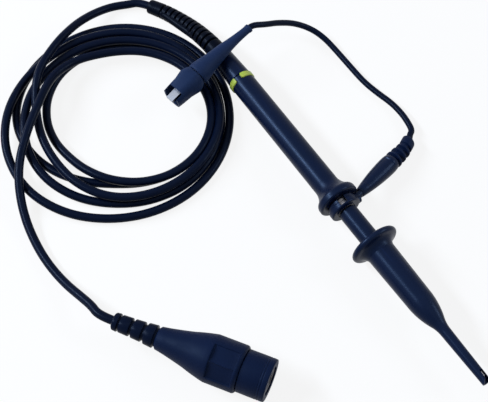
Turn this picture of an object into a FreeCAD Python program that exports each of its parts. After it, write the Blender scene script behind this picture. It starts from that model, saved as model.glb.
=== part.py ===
import FreeCAD, Part
import math
import os
from types import SimpleNamespace

import Sketcher
from FreeCAD import Placement, Rotation, Vector

# Oscilloscope probe, in millimetres.
# Places along the probe count from the middle of the marker ring towards the tip.
# The part's own X runs along the probe to the tip and Z is up from the table.

SIZES = {
    # barrel with its finger guard
    "barrel_length": 71.2,
    "barrel_wall": 1.0,
    "barrel_taper": 0.05,
    "flare_length": 6.2,
    "flare_end_radius": 7.6,
    "flare_bend": 8.0,
    "guard_back_length": 2.0,
    "guard_rim_width": 1.3,
    "guard_front_length": 0.7,
    "guard_radius": 8.9,
    "guard_face_radius": 8.1,
    "guard_round": 2.4,
    "guard_edge": 1.05,
    "barrel_front_wall": 4.5,
    # marker ring and rear cap
    "ring_width": 2.7,
    "ring_groove_width": 3.0,
    "ring_groove_depth": 0.5,
    "ring_rise": 0.4,
    "ring_gap_degrees": 30.0,
    "cap_length": 17.1,
    "cap_back_radius": 4.65,
    "cap_round": 1.7,
    "spigot_length": 6.5,
    "spigot_wall": 0.7,
    # bend relief behind the cap
    "relief_front_radius": 3.75,
    "relief_back_radius": 2.75,
    "relief_spigot_radius": 2.6,
    "relief_spigot_length": 5.0,
    "relief_slot_width": 1.35,
    "relief_slot_pitch": 3.05,
    "relief_core_radius": 2.15,
    # screen, board and contacts inside the barrel
    "shield_wall": 0.5,
    "board_thickness": 1.0,
    "board_side_room": 0.3,
    "board_front_room": 1.9,
    "resistor_radius": 1.1,
    "resistor_half_length": 3.2,
    "lead_wire_radius": 0.3,
    "resistor_from_front": 7.6,
    "capacitor_from_front": 19.6,
    "capacitor_length": 3.2,
    "capacitor_width": 1.6,
    "capacitor_height": 1.2,
    "ferrule_radius": 3.0,
    "ferrule_length": 17.0,
    "core_radius": 1.2,
    "insulator_radius": 2.5,
    "insulator_flange_length": 2.0,
    "nose_length": 25.8,
    "ground_sleeve_wall": 1.45,
    "ground_sleeve_step": 0.35,
    "ground_sleeve_reach": 4.7,
    "ground_sleeve_flange": 4.4,
    "pin_radius": 0.6,
    "pin_reach": 4.3,
    # slip-on hook
    "hook_tube_wall": 1.5,
    "stop_rise": 0.55,
    "stop_width": 2.0,
    "stop_distance": 2.6,
    "stop_play": 0.15,
    "guide_wall": 1.4,
    "guide_length": 16.0,
    "contact_radius": 1.55,
    "contact_length": 8.2,
    "hook_wire_radius": 0.32,
    "hook_bend": 0.475,
    "hook_set_back": 2.2,
    "flange_distance": 23.4,
    "flange_radius": 10.55,
    "flange_half_thickness": 1.3,
    "flange_round": 1.4,
    "sleeve_root_wall": 1.2,
    "sleeve_root_length": 4.6,
    "sleeve_grip_length": 30.0,
    "shoulder_wall": 0.7,
    "shoulder_length": 10.8,
    "waist_radius": 3.1,
    "waist_length": 4.0,
    "neck_radius": 2.3,
    "nose_tube_length": 25.2,
    "tip_radius": 1.85,
    "nose_bore_radius": 1.3,
    "cavity_front_room": 0.6,
    "tip_window_length": 5.2,
    "spring_wire_radius": 0.33,
    # ground collar and the grip on its lead
    "collar_length": 4.5,
    "collar_wall": 2.25,
    "collar_band_rise": 0.5,
    "collar_band_width": 2.4,
    "collar_round": 0.7,
    "collar_window_length": 3.6,
    "collar_window_width": 3.4,
    "contact_spring_wall": 0.45,
    "contact_spring_width": 3.0,
    "contact_spring_back": 1.95,
    "lead_root_distance": 3.35,
    "lobe_radius": 2.2,
    "lobe_reach": 8.2,
    "boss_radius": 1.9,
    "boss_end": 10.3,
    "grip_root_radius": 1.9,
    "grip_end": 33.8,
    "grip_radius": 3.7,
    "grip_flat_height": 3.05,
    "lead_relief_length": 13.7,
    "lead_rib_count": 3,
    "lead_rib_pitch": 2.8,
    "lead_rib_width": 1.6,
    "lead_rib_radius": 3.15,
    "lead_groove_radius": 2.35,
    "lead_end_radius": 2.75,
    "lead_end_length": 4.0,
    "lead_swing": 15.6,
    "lead_droop": 8.84,
    "wire_radius": 1.35,
    # crocodile clip with its boot
    "clip_length": 45.6,
    "boot_tail_radius": 1.75,
    "boot_tail_length": 1.2,
    "boot_waist_place": 15.0,
    "boot_waist_radius": 2.6,
    "boot_front_radius": 4.75,
    "boot_wall": 0.85,
    "front_boot_length": 13.8,
    "front_boot_rise": 0.45,
    "front_boot_mouth_half": 4.3,
    "front_boot_wall": 0.9,
    "mouth_cut_back": 3.0,
    "pivot_set_back": 2.3,
    "pivot_radius": 0.6,
    "upper_jaw_half_width": 2.2,
    "lower_jaw_half_width": 1.7,
    "jaw_sheet": 0.42,
    "jaw_tip_set_back": 0.1,
    "tooth_pitch": 1.4,
    "tooth_depth": 0.5,
    "clip_spring_radius": 1.0,
    "clip_spring_wire": 0.2,
    # cable
    "cable_radius": 1.85,
    # bayonet plug
    "plug_relief_length": 20.3,
    "plug_relief_back_radius": 3.15,
    "plug_relief_front_radius": 4.7,
    "plug_rib_count": 4,
    "plug_groove_width": 1.4,
    "plug_groove_depth": 0.95,
    "plug_spigot_radius": 3.2,
    "plug_spigot_length": 4.0,
    "housing_back_radius": 4.95,
    "housing_flare_length": 20.7,
    "housing_flare_bend": 150.0,
    "grip_length": 12.6,
    "plug_radius": 9.3,
    "housing_wall": 1.55,
    "flat_half_spread": 15.5,
    "flat_depth": 0.45,
    "flat_margin": 2.0,
    "coupling_length": 12.2,
    "coupling_gap": 0.3,
    "coupling_step": 1.05,
    "coupling_lip_width": 2.3,
    "nut_side_room": 0.8,
    "nut_play": 0.1,
    "nut_flange_length": 1.5,
    "bayonet_slot_width": 2.3,
    "bayonet_slot_depth": 0.75,
    "shell_wall": 0.7,
    "shell_length": 12.5,
    "shell_set_back": 3.1,
    "neck_wall": 0.55,
    "catch_rise": 0.25,
    "catch_width": 1.3,
    "washer_room": 0.7,
    "crimp_neck_radius": 3.0,
    "crimp_neck_length": 7.0,
    "crimp_wall": 0.55,
    "outer_contact_radius": 4.05,
    "outer_contact_wall": 0.5,
    "outer_contact_set_back": 1.4,
    "plug_insulator_radius": 2.5,
    "plug_insulator_reach": 5.0,
    "plug_pin_radius": 0.675,
    "plug_pin_reach": 3.5,
    "gasket_thickness": 1.0,
    "compensation_half_width": 5.1,
    "trimmer_radius": 2.4,
    "trimmer_height": 2.4,
    "trimmer_screw_radius": 1.45,
    "trimmer_distance": 7.0,
    "access_hole_radius": 1.5,
    # clearances
    "fit_gap": 0.05,
    "seat_gap": 0.1,
    "play": 0.3,
}

document = FreeCAD.newDocument("Probe")
sheet = document.addObject("Spreadsheet::Sheet", "Sizes")
for row, (name, value) in enumerate(SIZES.items(), 1):
    sheet.set(f"A{row}", name)
    sheet.set(f"B{row}", str(value))
    sheet.setAlias(f"B{row}", name)
document.recompute()


class Size:
    """A length or angle that remembers the formula it comes from."""

    def __init__(self, value, formula):
        self.value = float(value)
        self.formula = formula

    def __float__(self):
        return self.value

    def __add__(self, other):
        return combined(self, "+", other)

    def __radd__(self, other):
        return combined(other, "+", self)

    def __sub__(self, other):
        return combined(self, "-", other)

    def __rsub__(self, other):
        return combined(other, "-", self)

    def __mul__(self, other):
        return combined(self, "*", other)

    def __rmul__(self, other):
        return combined(other, "*", self)

    def __truediv__(self, other):
        return combined(self, "/", other)

    def __neg__(self):
        return combined(0.0, "-", self)


def as_size(item):
    return item if isinstance(item, Size) else Size(item, f"{float(item):.6f}")


def combined(first, sign, second):
    first, second = as_size(first), as_size(second)
    results = {
        "+": first.value + second.value,
        "-": first.value - second.value,
        "*": first.value * second.value,
        "/": first.value / second.value if second.value else 0.0,
    }
    return Size(results[sign], f"({first.formula} {sign} {second.formula})")


size = SimpleNamespace(**{name: Size(value, "Sizes." + name) for name, value in SIZES.items()})
pieces = []


# Radii that follow from the nose outwards.
sleeve_radius = size.insulator_radius + size.fit_gap + size.ground_sleeve_wall
sleeve_hole = sleeve_radius + size.fit_gap
barrel_bore_radius = sleeve_radius + size.ground_sleeve_step
barrel_rear_radius = barrel_bore_radius + size.barrel_wall
barrel_front_radius = barrel_rear_radius + size.barrel_taper
spigot_radius = barrel_bore_radius - size.fit_gap
ring_groove_radius = barrel_rear_radius - size.ring_groove_depth
ring_radius = barrel_rear_radius + size.ring_rise
cap_front_radius = barrel_rear_radius - size.fit_gap
shield_bore_radius = barrel_bore_radius - size.fit_gap - size.shield_wall
board_half_width = shield_bore_radius - size.board_side_room
insulator_flange_radius = shield_bore_radius - size.fit_gap
hook_tube_radius = size.insulator_radius + size.fit_gap + size.hook_tube_wall
stop_radius = hook_tube_radius + size.stop_rise
cavity_radius = stop_radius + size.stop_play
guide_radius = size.contact_radius + size.fit_gap + size.guide_wall
spring_radius = (guide_radius + cavity_radius) / 2 - 0.025
sleeve_root_radius = cavity_radius + size.sleeve_root_wall
shoulder_radius = cavity_radius + size.shoulder_wall
collar_back_radius = sleeve_hole + size.collar_wall
collar_front_radius = collar_back_radius + size.collar_band_rise

# Places along the probe, from the ring and the guard outwards.
ring_half = size.ring_groove_width / 2
cap_back = -(ring_half + size.cap_length)
guard_face_place = size.barrel_length
guard_front_place = guard_face_place - size.guard_front_length
guard_back_place = guard_front_place - size.guard_rim_width
flare_end_place = guard_back_place - size.guard_back_length
flare_place = flare_end_place - size.flare_length
barrel_bore_end = guard_face_place - size.barrel_front_wall
shield_back = ring_half + size.spigot_length + 1.0
shield_front = barrel_bore_end - size.seat_gap * 2 - size.ground_sleeve_flange
board_back = shield_back + 0.6
board_front = shield_front - size.insulator_flange_length - size.board_front_room
resistor_place = board_front - size.resistor_from_front
capacitor_place = board_front - size.capacitor_from_front
sleeve_front_place = guard_face_place + size.ground_sleeve_reach
nose_end_place = guard_face_place + size.nose_length
pin_point_place = nose_end_place + size.pin_reach
hook_back_place = sleeve_front_place + 0.5
flange_place = guard_face_place + size.flange_distance
stop_place = flange_place + size.stop_distance
guide_end_place = nose_end_place + size.guide_length
sleeve_root_place = flange_place + size.sleeve_root_length
shoulder_place = flange_place + size.sleeve_grip_length
cavity_front_place = shoulder_place - size.cavity_front_room
waist_place = shoulder_place + size.shoulder_length
neck_place = waist_place + size.waist_length
tip_place = neck_place + size.nose_tube_length
hook_end_place = tip_place - size.hook_set_back
collar_back = guard_face_place + size.play
collar_front = collar_back + size.collar_length
contact_middle = collar_back + size.contact_spring_back
lead_root_place = guard_face_place + size.lead_root_distance
axis_height = size.flange_radius
middle = (tip_place + cap_back) / 2

# Places along the clip, from the end of its boot.
boot_front_place = size.clip_length - size.front_boot_length
pivot_place = boot_front_place - size.pivot_set_back
jaw_tip_place = size.clip_length - size.jaw_tip_set_back
front_boot_back_half = size.boot_front_radius + size.front_boot_rise

# Places along the plug, from the back of its bend relief, and its radii.
grip_place = size.plug_relief_length + size.housing_flare_length
shoulder_end = grip_place + size.grip_length
flat_length = size.grip_length - size.flat_margin
plug_end = shoulder_end + size.coupling_length
shell_front_place = shoulder_end - size.shell_set_back
shell_back_place = shell_front_place - size.shell_length
trimmer_place = shell_back_place + size.trimmer_distance
nut_back_place = shell_front_place + size.washer_room
catch_back_place = nut_back_place + size.nut_flange_length + 0.5
catch_front_place = catch_back_place + size.catch_width
outer_contact_end = plug_end - size.outer_contact_set_back
plug_insulator_end = catch_front_place + size.plug_insulator_reach
plug_pin_end = plug_insulator_end + size.plug_pin_reach
flat_distance = size.plug_radius - size.flat_depth
cavity_wall_radius = size.plug_radius - size.housing_wall
shell_radius = cavity_wall_radius - size.fit_gap
neck_outer_radius = size.outer_contact_radius + size.neck_wall
catch_radius = neck_outer_radius + size.catch_rise
nut_bore_radius = catch_radius + size.nut_play
nut_radius = cavity_wall_radius - size.nut_side_room
coupling_radius = size.plug_radius - size.coupling_step


class Bend:
    """An arc between two corners of an outline."""

    def __init__(self, radius, bulges_left):
        self.radius = as_size(radius)
        self.bulges_left = bulges_left


def outward(radius):
    return Bend(radius, True)


def inward(radius):
    return Bend(radius, False)


def new_piece(label):
    """An empty body that becomes one piece of the probe."""
    body = document.addObject("PartDesign::Body", label)
    body.Label = label
    pieces.append(body)
    return body


def shape_piece(label, shape, placement=None):
    """A piece whose form is a sweep that sketches can't give."""
    item = document.addObject("Part::Feature", label)
    item.Label = label
    item.Shape = shape
    item.Placement = placement or Placement()
    pieces.append(item)
    return item


def on_probe_axis(body, turn=0.0):
    """Puts a piece drawn about its own X axis on the probe's axis, turned about it."""
    body.Placement = Placement(Vector(-float(middle), 0, float(axis_height)), Rotation(Vector(1, 0, 0), turn))
    return body


def sketch_on(body, role="XZ_Plane", offset=None):
    """A sketch on one of the body's own planes, moved along the plane's normal."""
    sketch = body.newObject("Sketcher::SketchObject", "sketch")
    plane = next(item for item in body.Origin.OriginFeatures if item.Role == role)
    sketch.AttachmentSupport = (plane, [""])
    sketch.MapMode = "FlatFace"
    if offset is not None:
        sketch.setExpression("AttachmentOffset.Base.z", as_size(offset).formula)
    return sketch


def tie(sketch, kind, first, position, value):
    """Ties one coordinate of a sketch point to its formula."""
    value = as_size(value)
    axis = -2 if kind == "DistanceX" else -1
    if abs(value.value) < 1e-9:
        sketch.addConstraint(Sketcher.Constraint("PointOnObject", first, position, axis))
        return
    index = sketch.addConstraint(Sketcher.Constraint(kind, -1, 1, first, position, value.value))
    sketch.setExpression(f"Constraints[{index}]", value.formula)


def arc_between(start, end, radius, bulges_left):
    """The shorter arc from start to end, and which of its ends comes first."""
    chord = end - start
    half = chord.Length / 2
    normal = Vector(-chord.y, chord.x, 0).normalize()
    side = -1 if bulges_left else 1
    centre = (start + end) / 2 + normal * side * math.sqrt(max(radius**2 - half**2, 0))
    first_angle = math.atan2(start.y - centre.y, start.x - centre.x)
    last_angle = math.atan2(end.y - centre.y, end.x - centre.x)
    circle = Part.Circle(centre, Vector(0, 0, 1), radius)
    if bulges_left:
        return Part.ArcOfCircle(circle, last_angle, first_angle), (2, 1)
    return Part.ArcOfCircle(circle, first_angle, last_angle), (1, 2)


def draw(sketch, outline, closed=True):
    """Lines and arcs through the outline's corners, each corner tied to its formulas."""
    corners = [item for item in outline if not isinstance(item, Bend)]
    bends = {}
    seen = 0
    for item in outline:
        if isinstance(item, Bend):
            bends[seen - 1] = item
        else:
            seen += 1
    first = sketch.GeometryCount
    count = len(corners)
    spans = count if closed else count - 1
    ends = []
    for index in range(spans):
        start = Vector(float(corners[index][0]), float(corners[index][1]), 0)
        following = corners[(index + 1) % count]
        end = Vector(float(following[0]), float(following[1]), 0)
        if index in bends:
            bend = bends[index]
            curve, order = arc_between(start, end, bend.radius.value, bend.bulges_left)
        else:
            curve, order = Part.LineSegment(start, end), (1, 2)
        sketch.addGeometry(curve, False)
        ends.append(order)
    for index in range(count):
        if index < spans:
            line, position = first + index, ends[index][0]
        else:
            line, position = first + index - 1, ends[index - 1][1]
        tie(sketch, "DistanceX", line, position, corners[index][0])
        tie(sketch, "DistanceY", line, position, corners[index][1])
        if index < spans and (closed or index > 0):
            before = (index - 1) % count
            join = Sketcher.Constraint("Coincident", first + before, ends[before][1], line, position)
            sketch.addConstraint(join)
    for index, bend in bends.items():
        added = sketch.addConstraint(Sketcher.Constraint("Radius", first + index, bend.radius.value))
        sketch.setExpression(f"Constraints[{added}]", bend.radius.formula)
    return sketch


def draw_circle(sketch, x, y, radius):
    """A circle tied to the formulas of its middle and its radius."""
    radius = as_size(radius)
    middle_point = Vector(float(x), float(y), 0)
    circle = sketch.addGeometry(Part.Circle(middle_point, Vector(0, 0, 1), radius.value), False)
    tie(sketch, "DistanceX", circle, 3, x)
    tie(sketch, "DistanceY", circle, 3, y)
    added = sketch.addConstraint(Sketcher.Constraint("Radius", circle, radius.value))
    sketch.setExpression(f"Constraints[{added}]", radius.formula)
    return sketch


def turned(body, outline, kind="Revolution", angle=360.0):
    """Turns an outline of (place, radius) corners about the body's X axis."""
    sketch = draw(sketch_on(body), outline)
    feature = body.newObject("PartDesign::" + kind, "turning")
    feature.Profile = (sketch, [""])
    feature.ReferenceAxis = (sketch, ["H_Axis"])
    feature.Angle = angle
    return feature


def prism(body, kind, sketch, length, side="One side", reverse=False):
    """A pad or pocket of one sketch."""
    feature = body.newObject("PartDesign::" + kind, "prism")
    feature.Profile = (sketch, [""])
    feature.SideType = side
    feature.setExpression("Length", as_size(length).formula)
    feature.Reversed = reverse
    return feature


def cut_box(body, length, width, height, place, turn=0.0):
    """Cuts a box; place is the middle of its lowest face, turned about the body's X axis."""
    box = body.newObject("PartDesign::SubtractiveBox", "cut")
    for name, value in (("Length", length), ("Width", width), ("Height", height)):
        box.setExpression(name, as_size(value).formula)
    corner = Vector(float(place[0]) - float(length) / 2, float(place[1]) - float(width) / 2, float(place[2]))
    spin = Rotation(Vector(1, 0, 0), turn)
    box.Placement = Placement(spin.multVec(corner), spin)
    return box


def round_bar(body, kind, radius, height, start, direction):
    """Adds or cuts a cylinder that starts at a point of the body and runs along a direction."""
    bar = body.newObject("PartDesign::" + kind, "bar")
    bar.setExpression("Radius", as_size(radius).formula)
    bar.setExpression("Height", as_size(height).formula)
    bar.Placement = Placement(Vector(*[float(item) for item in start]), Rotation(Vector(0, 0, 1), Vector(*direction)))
    return bar


def tube_outline(start, end, inner, outer, chamfer=0.0):
    """A plain tube, with its outer edges broken when a chamfer is given."""
    if not chamfer:
        return [(start, inner), (start, outer), (end, outer), (end, inner)]
    return [
        (start, inner),
        (start, outer - chamfer),
        (start + chamfer, outer),
        (end - chamfer, outer),
        (end, outer - chamfer),
        (end, inner),
    ]


# Probe head


def make_barrel():
    """Moulded grip that flares into the finger guard."""
    body = new_piece("barrel")
    turned(body, [
        (ring_half, barrel_bore_radius),
        (ring_half, barrel_rear_radius),
        (flare_place, barrel_front_radius),
        inward(size.flare_bend),
        (flare_end_place, size.flare_end_radius),
        outward(size.guard_round),
        (guard_back_place, size.guard_radius),
        (guard_front_place, size.guard_radius),
        outward(size.guard_edge),
        (guard_face_place, size.guard_face_radius),
        (guard_face_place, sleeve_hole),
        (barrel_bore_end, sleeve_hole),
        (barrel_bore_end, barrel_bore_radius),
    ])
    return on_probe_axis(body)


def make_rear_cap():
    """Cone behind the ring, with the spigot that plugs into the barrel."""
    body = new_piece("rear_cap")
    ferrule_seat = size.ferrule_radius + size.fit_gap
    relief_hole = size.relief_spigot_radius + size.fit_gap
    spigot_front = ring_half + size.spigot_length
    seat_back = cap_back + size.relief_spigot_length + 0.4
    seat_front = seat_back + size.ferrule_length
    turned(body, [
        (cap_back, relief_hole),
        (cap_back, size.cap_back_radius - size.cap_round / 2),
        outward(size.cap_round),
        (cap_back + size.cap_round, size.cap_back_radius),
        (-ring_half, cap_front_radius),
        (-ring_half, ring_groove_radius),
        (ring_half - size.seat_gap, ring_groove_radius),
        (ring_half - size.seat_gap, spigot_radius),
        (spigot_front, spigot_radius),
        (spigot_front, spigot_radius - size.spigot_wall),
        (seat_front, spigot_radius - size.spigot_wall),
        (seat_front, ferrule_seat),
        (seat_back, ferrule_seat),
        (seat_back, relief_hole),
    ])
    return on_probe_axis(body)


def make_marker_ring():
    """Open coloured ring in the groove between cap and barrel, its gap towards the user."""
    body = new_piece("marker_ring")
    half = size.ring_width / 2
    inner = ring_groove_radius + size.fit_gap
    edge = 0.3
    feature = turned(body, [
        (-half, inner),
        (-half, ring_radius - edge),
        (edge - half, ring_radius),
        (half - edge, ring_radius),
        (half, ring_radius - edge),
        (half, inner),
    ], angle=360.0 - float(size.ring_gap_degrees))
    feature.setExpression("Angle", (360.0 - size.ring_gap_degrees).formula)
    document.recompute()
    corners = []
    for index, line in enumerate(feature.Shape.Edges, 1):
        ends = [vertex.Point for vertex in line.Vertexes]
        if len(ends) == 2 and abs(abs(ends[0].x) - float(half)) < 1e-6 and abs(ends[0].x - ends[1].x) < 1e-6:
            if isinstance(line.Curve, Part.Line):
                corners.append(f"Edge{index}")
    ends_rounded = body.newObject("PartDesign::Fillet", "round_ends")
    ends_rounded.Base = (feature, corners)
    ends_rounded.Radius = 0.9
    gap_faces = 24.0
    return on_probe_axis(body, turn=gap_faces + float(size.ring_gap_degrees) / 2)


def make_shield_tube():
    body = new_piece("shield_tube")
    turned(body, tube_outline(shield_back, shield_front, shield_bore_radius, spigot_radius))
    return on_probe_axis(body)


def make_circuit_board():
    """Narrow board down the middle of the screen, notched where the cable comes in."""
    body = new_piece("circuit_board")
    half = board_half_width
    notch = 1.0
    sketch = draw(sketch_on(body, "XY_Plane"), [
        (board_back, -half),
        (board_back, -notch),
        (board_back + 2.5, -notch),
        (board_back + 2.5, notch),
        (board_back, notch),
        (board_back, half),
        (board_front, half),
        (board_front, -half),
    ])
    prism(body, "Pad", sketch, size.board_thickness, side="Symmetric")
    return on_probe_axis(body)


def make_input_resistor():
    """Axial resistor with its two leads bent down to the board."""
    body = new_piece("input_resistor")
    lead = size.lead_wire_radius
    half = size.resistor_half_length
    reach = half + 1.6
    waist = size.resistor_radius * 0.86
    turned(body, [
        (-reach, 0),
        (-reach, lead),
        (-half, lead),
        (-half, size.resistor_radius),
        (-half * 0.6, size.resistor_radius),
        (-half * 0.5, waist),
        (half * 0.5, waist),
        (half * 0.6, size.resistor_radius),
        (half, size.resistor_radius),
        (half, lead),
        (reach, lead),
        (reach, 0),
    ])
    rise = size.board_thickness / 2 + size.resistor_radius + size.seat_gap
    drop = rise - size.board_thickness / 2
    for place in (-float(reach) + 0.31, float(reach) - 0.31):
        round_bar(body, "AdditiveCylinder", lead - 0.01, drop, (place, 0, 0), (0, 0, -1))
    body.Placement = Placement(
        Vector(float(resistor_place - middle), 0, float(axis_height + rise)), Rotation())
    return body


def make_input_capacitor():
    """Chip capacitor with wrapped end contacts."""
    body = new_piece("input_capacitor")
    half = size.capacitor_length / 2
    contact = 0.5
    side = size.capacitor_width / 2
    lower = size.capacitor_height - 0.08
    sketch = draw(sketch_on(body, "XZ_Plane"), [
        (-half, 0.05),
        (-half, size.capacitor_height),
        (contact - half, size.capacitor_height),
        (contact - half, lower),
        (half - contact, lower),
        (half - contact, size.capacitor_height),
        (half, size.capacitor_height),
        (half, 0.05),
    ])
    prism(body, "Pad", sketch, side * 2, side="Symmetric")
    body.Placement = Placement(
        Vector(float(capacitor_place - middle), 0, float(axis_height + size.board_thickness / 2)), Rotation())
    return body


def make_cable_ferrule():
    """Crimped tube on the cable's screen, with the crimp's two rings."""
    body = new_piece("cable_ferrule")
    start = cap_back + size.relief_spigot_length + 0.5
    end = start + size.ferrule_length - 0.4
    outer = size.ferrule_radius
    pressed = outer - 0.25
    outline = [(start, size.core_radius + size.fit_gap), (start, outer)]
    for place in (4.0, 9.0):
        outline += [(start + place, outer), (start + place + 0.3, pressed)]
        outline += [(start + place + 2.2, pressed), (start + place + 2.5, outer)]
    outline += [(end, outer), (end, size.core_radius + size.fit_gap)]
    turned(body, outline)
    return on_probe_axis(body)


def make_cable_core():
    """Stripped end of the cable: its inner insulation and the bare conductor."""
    body = new_piece("cable_core")
    start = cap_back + size.relief_spigot_length + 0.5
    step = ring_half + 4.0
    turned(body, [
        (start, 0),
        (start, size.core_radius),
        (step, size.core_radius),
        (step, 0.4),
        (board_back + 2.4, 0.4),
        (board_back + 2.4, 0),
    ])
    return on_probe_axis(body)


def make_nose_insulator():
    """Slim shaft that carries the tip pin out through the ground sleeve."""
    body = new_piece("nose_insulator")
    bore = size.pin_radius + size.fit_gap
    flange_back = shield_front - size.insulator_flange_length
    turned(body, [
        (flange_back, bore),
        (flange_back, insulator_flange_radius),
        (shield_front, insulator_flange_radius),
        (shield_front, size.insulator_radius),
        (nose_end_place - 0.5, size.insulator_radius),
        (nose_end_place, size.insulator_radius - 0.5),
        (nose_end_place, bore),
    ])
    return on_probe_axis(body)


def make_ground_sleeve():
    """Metal ring on the nose that the ground collar turns on."""
    body = new_piece("ground_sleeve")
    bore = size.insulator_radius + size.fit_gap
    flange_back = shield_front + size.seat_gap
    outer = sleeve_radius
    turned(body, [
        (flange_back, bore),
        (flange_back, spigot_radius),
        (barrel_bore_end - size.seat_gap, spigot_radius),
        (barrel_bore_end - size.seat_gap, outer),
        (sleeve_front_place - 0.3, outer),
        (sleeve_front_place, outer - 0.3),
        (sleeve_front_place, bore),
    ])
    return on_probe_axis(body)


def make_probe_tip_pin():
    body = new_piece("probe_tip_pin")
    start = board_front + 0.3
    turned(body, [
        (start, 0),
        (start, size.pin_radius),
        (pin_point_place - 2.8, size.pin_radius),
        (pin_point_place - 0.2, 0.15),
        (pin_point_place, 0),
    ])
    return on_probe_axis(body)


# Slip-on hook

HOOK_SIDE = -38.0


def make_hook_cap():
    """Tube that slips over the nose, with the stop collar and the guide for the spring."""
    body = new_piece("hook_cap")
    bore = size.insulator_radius + size.fit_gap
    contact_seat = size.contact_radius + size.fit_gap
    wire_hole = size.hook_wire_radius + size.fit_gap
    seat_back = nose_end_place + 1.3
    seat_front = seat_back + size.contact_length + 0.4
    stop_front = stop_place + size.stop_width
    turned(body, [
        (hook_back_place, bore),
        (hook_back_place, hook_tube_radius - 0.4),
        (hook_back_place + 0.4, hook_tube_radius),
        (stop_place, hook_tube_radius),
        (stop_place, stop_radius),
        (stop_front, stop_radius),
        (stop_front, guide_radius),
        (guide_end_place - 0.5, guide_radius),
        (guide_end_place, guide_radius - 0.5),
        (guide_end_place, wire_hole),
        (seat_front, wire_hole),
        (seat_front, contact_seat),
        (seat_back, contact_seat),
        (seat_back, bore),
    ])
    return on_probe_axis(body, HOOK_SIDE)


def make_hook_contact():
    """Bush that takes the tip pin and holds the end of the hook wire."""
    body = new_piece("hook_contact")
    start = nose_end_place + 1.6
    end = start + size.contact_length
    bore_end = pin_point_place + 1.2
    pin_bore = size.pin_radius + size.fit_gap
    wire_bore = size.hook_wire_radius + size.fit_gap
    turned(body, [
        (start, pin_bore + 0.4),
        (start, size.contact_radius - 0.3),
        (start + 0.3, size.contact_radius),
        (end, size.contact_radius),
        (end, wire_bore),
        (bore_end + 1.0, wire_bore),
        (bore_end + 1.0, 0),
        (bore_end, 0),
        (bore_end - 0.4, pin_bore),
        (start + 0.6, pin_bore),
    ])
    return on_probe_axis(body, HOOK_SIDE)


def make_hook_wire():
    """Springy wire down the middle that ends in the small hook."""
    body = new_piece("hook_wire")
    start = pin_point_place + 2.4
    bend_place = hook_end_place - size.hook_wire_radius - size.hook_bend
    path = draw(sketch_on(body, "XZ_Plane"), [
        (start, 0),
        (bend_place, 0),
        inward(size.hook_bend * 1.001),
        (bend_place, size.hook_bend * 2),
        (bend_place - 1.5, size.hook_bend * 2),
    ], closed=False)
    section = draw_circle(sketch_on(body, "YZ_Plane", offset=start), 0, 0, size.hook_wire_radius)
    pipe = body.newObject("PartDesign::AdditivePipe", "wire")
    pipe.Profile = (section, [""])
    pipe.Spine = (path, [f"Edge{index}" for index in (1, 2, 3)])
    return on_probe_axis(body, HOOK_SIDE)


def make_hook_sleeve():
    """Outer sleeve with the finger flange and the long nose that guides the hook."""
    body = new_piece("hook_sleeve")
    back = flange_place - size.flange_half_thickness
    front = flange_place + size.flange_half_thickness
    rim = size.flange_radius - 0.95
    rear_bore = hook_tube_radius + size.fit_gap
    lip_front = stop_place - size.play
    turned(body, [
        (back + 0.25, rear_bore),
        (back + 0.25, sleeve_root_radius),
        inward(12.0),
        (back, rim),
        outward(size.flange_round),
        (flange_place, size.flange_radius),
        outward(size.flange_round),
        (front, rim),
        (front + 0.35, rim - 1.3),
        inward(4.2),
        (sleeve_root_place, sleeve_root_radius),
        (shoulder_place, shoulder_radius),
        outward(34.0),
        (waist_place, size.waist_radius),
        inward(14.0),
        (neck_place, size.neck_radius),
        (tip_place, size.tip_radius),
        (tip_place, size.nose_bore_radius),
        (cavity_front_place, size.nose_bore_radius),
        (cavity_front_place, cavity_radius),
        (lip_front, cavity_radius),
        (lip_front, rear_bore),
    ])
    window_middle = tip_place - size.tip_window_length / 2 + 0.5
    cut_box(body, size.tip_window_length + 1.0, size.nose_bore_radius * 1.7, 3.0, (window_middle, 0, 0.35))
    bevel = sketch_on(body, "XZ_Plane")
    draw(bevel, [
        (tip_place - 2.6, 2.6),
        (tip_place + 0.6, 2.6),
        (tip_place + 0.6, -0.9),
    ])
    prism(body, "Pocket", bevel, 6.0, side="Symmetric")
    return on_probe_axis(body, HOOK_SIDE)


# Sweeps of round wire along smooth paths


def biarc(start, start_way, end, end_way):
    """The middle point and way of the two arcs that join two points with given ways."""
    gap = end - start
    ways = start_way + end_way
    square = 2 * (1 - start_way.dot(end_way))
    slope = 2 * gap.dot(ways)
    reach = gap.dot(gap)
    if abs(square) < 1e-9:
        step = reach / slope
    else:
        step = (math.sqrt(slope * slope + 4 * square * reach) - slope) / (2 * square)
    first = start + start_way * step
    last = end - end_way * step
    way = last - first
    return (first + last) / 2, way.normalize()


def arc_edge(start, way, end):
    """The arc that leaves start along way and reaches end, with its radius."""
    chord = end - start
    across = chord - way * chord.dot(way)
    if across.Length < 1e-7:
        return Part.LineSegment(start, end).toShape(), math.inf
    side = Vector(across).normalize()
    radius = chord.dot(chord) / (2 * chord.dot(side))
    turn = 2 * math.atan2(chord.dot(side), chord.dot(way))
    centre = start + side * radius
    halfway = centre + (way * math.sin(turn / 2) - side * math.cos(turn / 2)) * radius
    return Part.Arc(start, halfway, end).toShape(), radius


def smooth_wire(points, ways):
    """Arcs through all points with the given ways, and the least radius."""
    edges, least = [], math.inf
    for index in range(len(points) - 1):
        join, way = biarc(points[index], ways[index], points[index + 1], ways[index + 1])
        for start, start_way, end in ((points[index], ways[index], join), (join, way, points[index + 1])):
            edge, radius = arc_edge(start, start_way, end)
            edges.append(edge)
            least = min(least, abs(radius))
    return Part.Wire(edges), least


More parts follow.
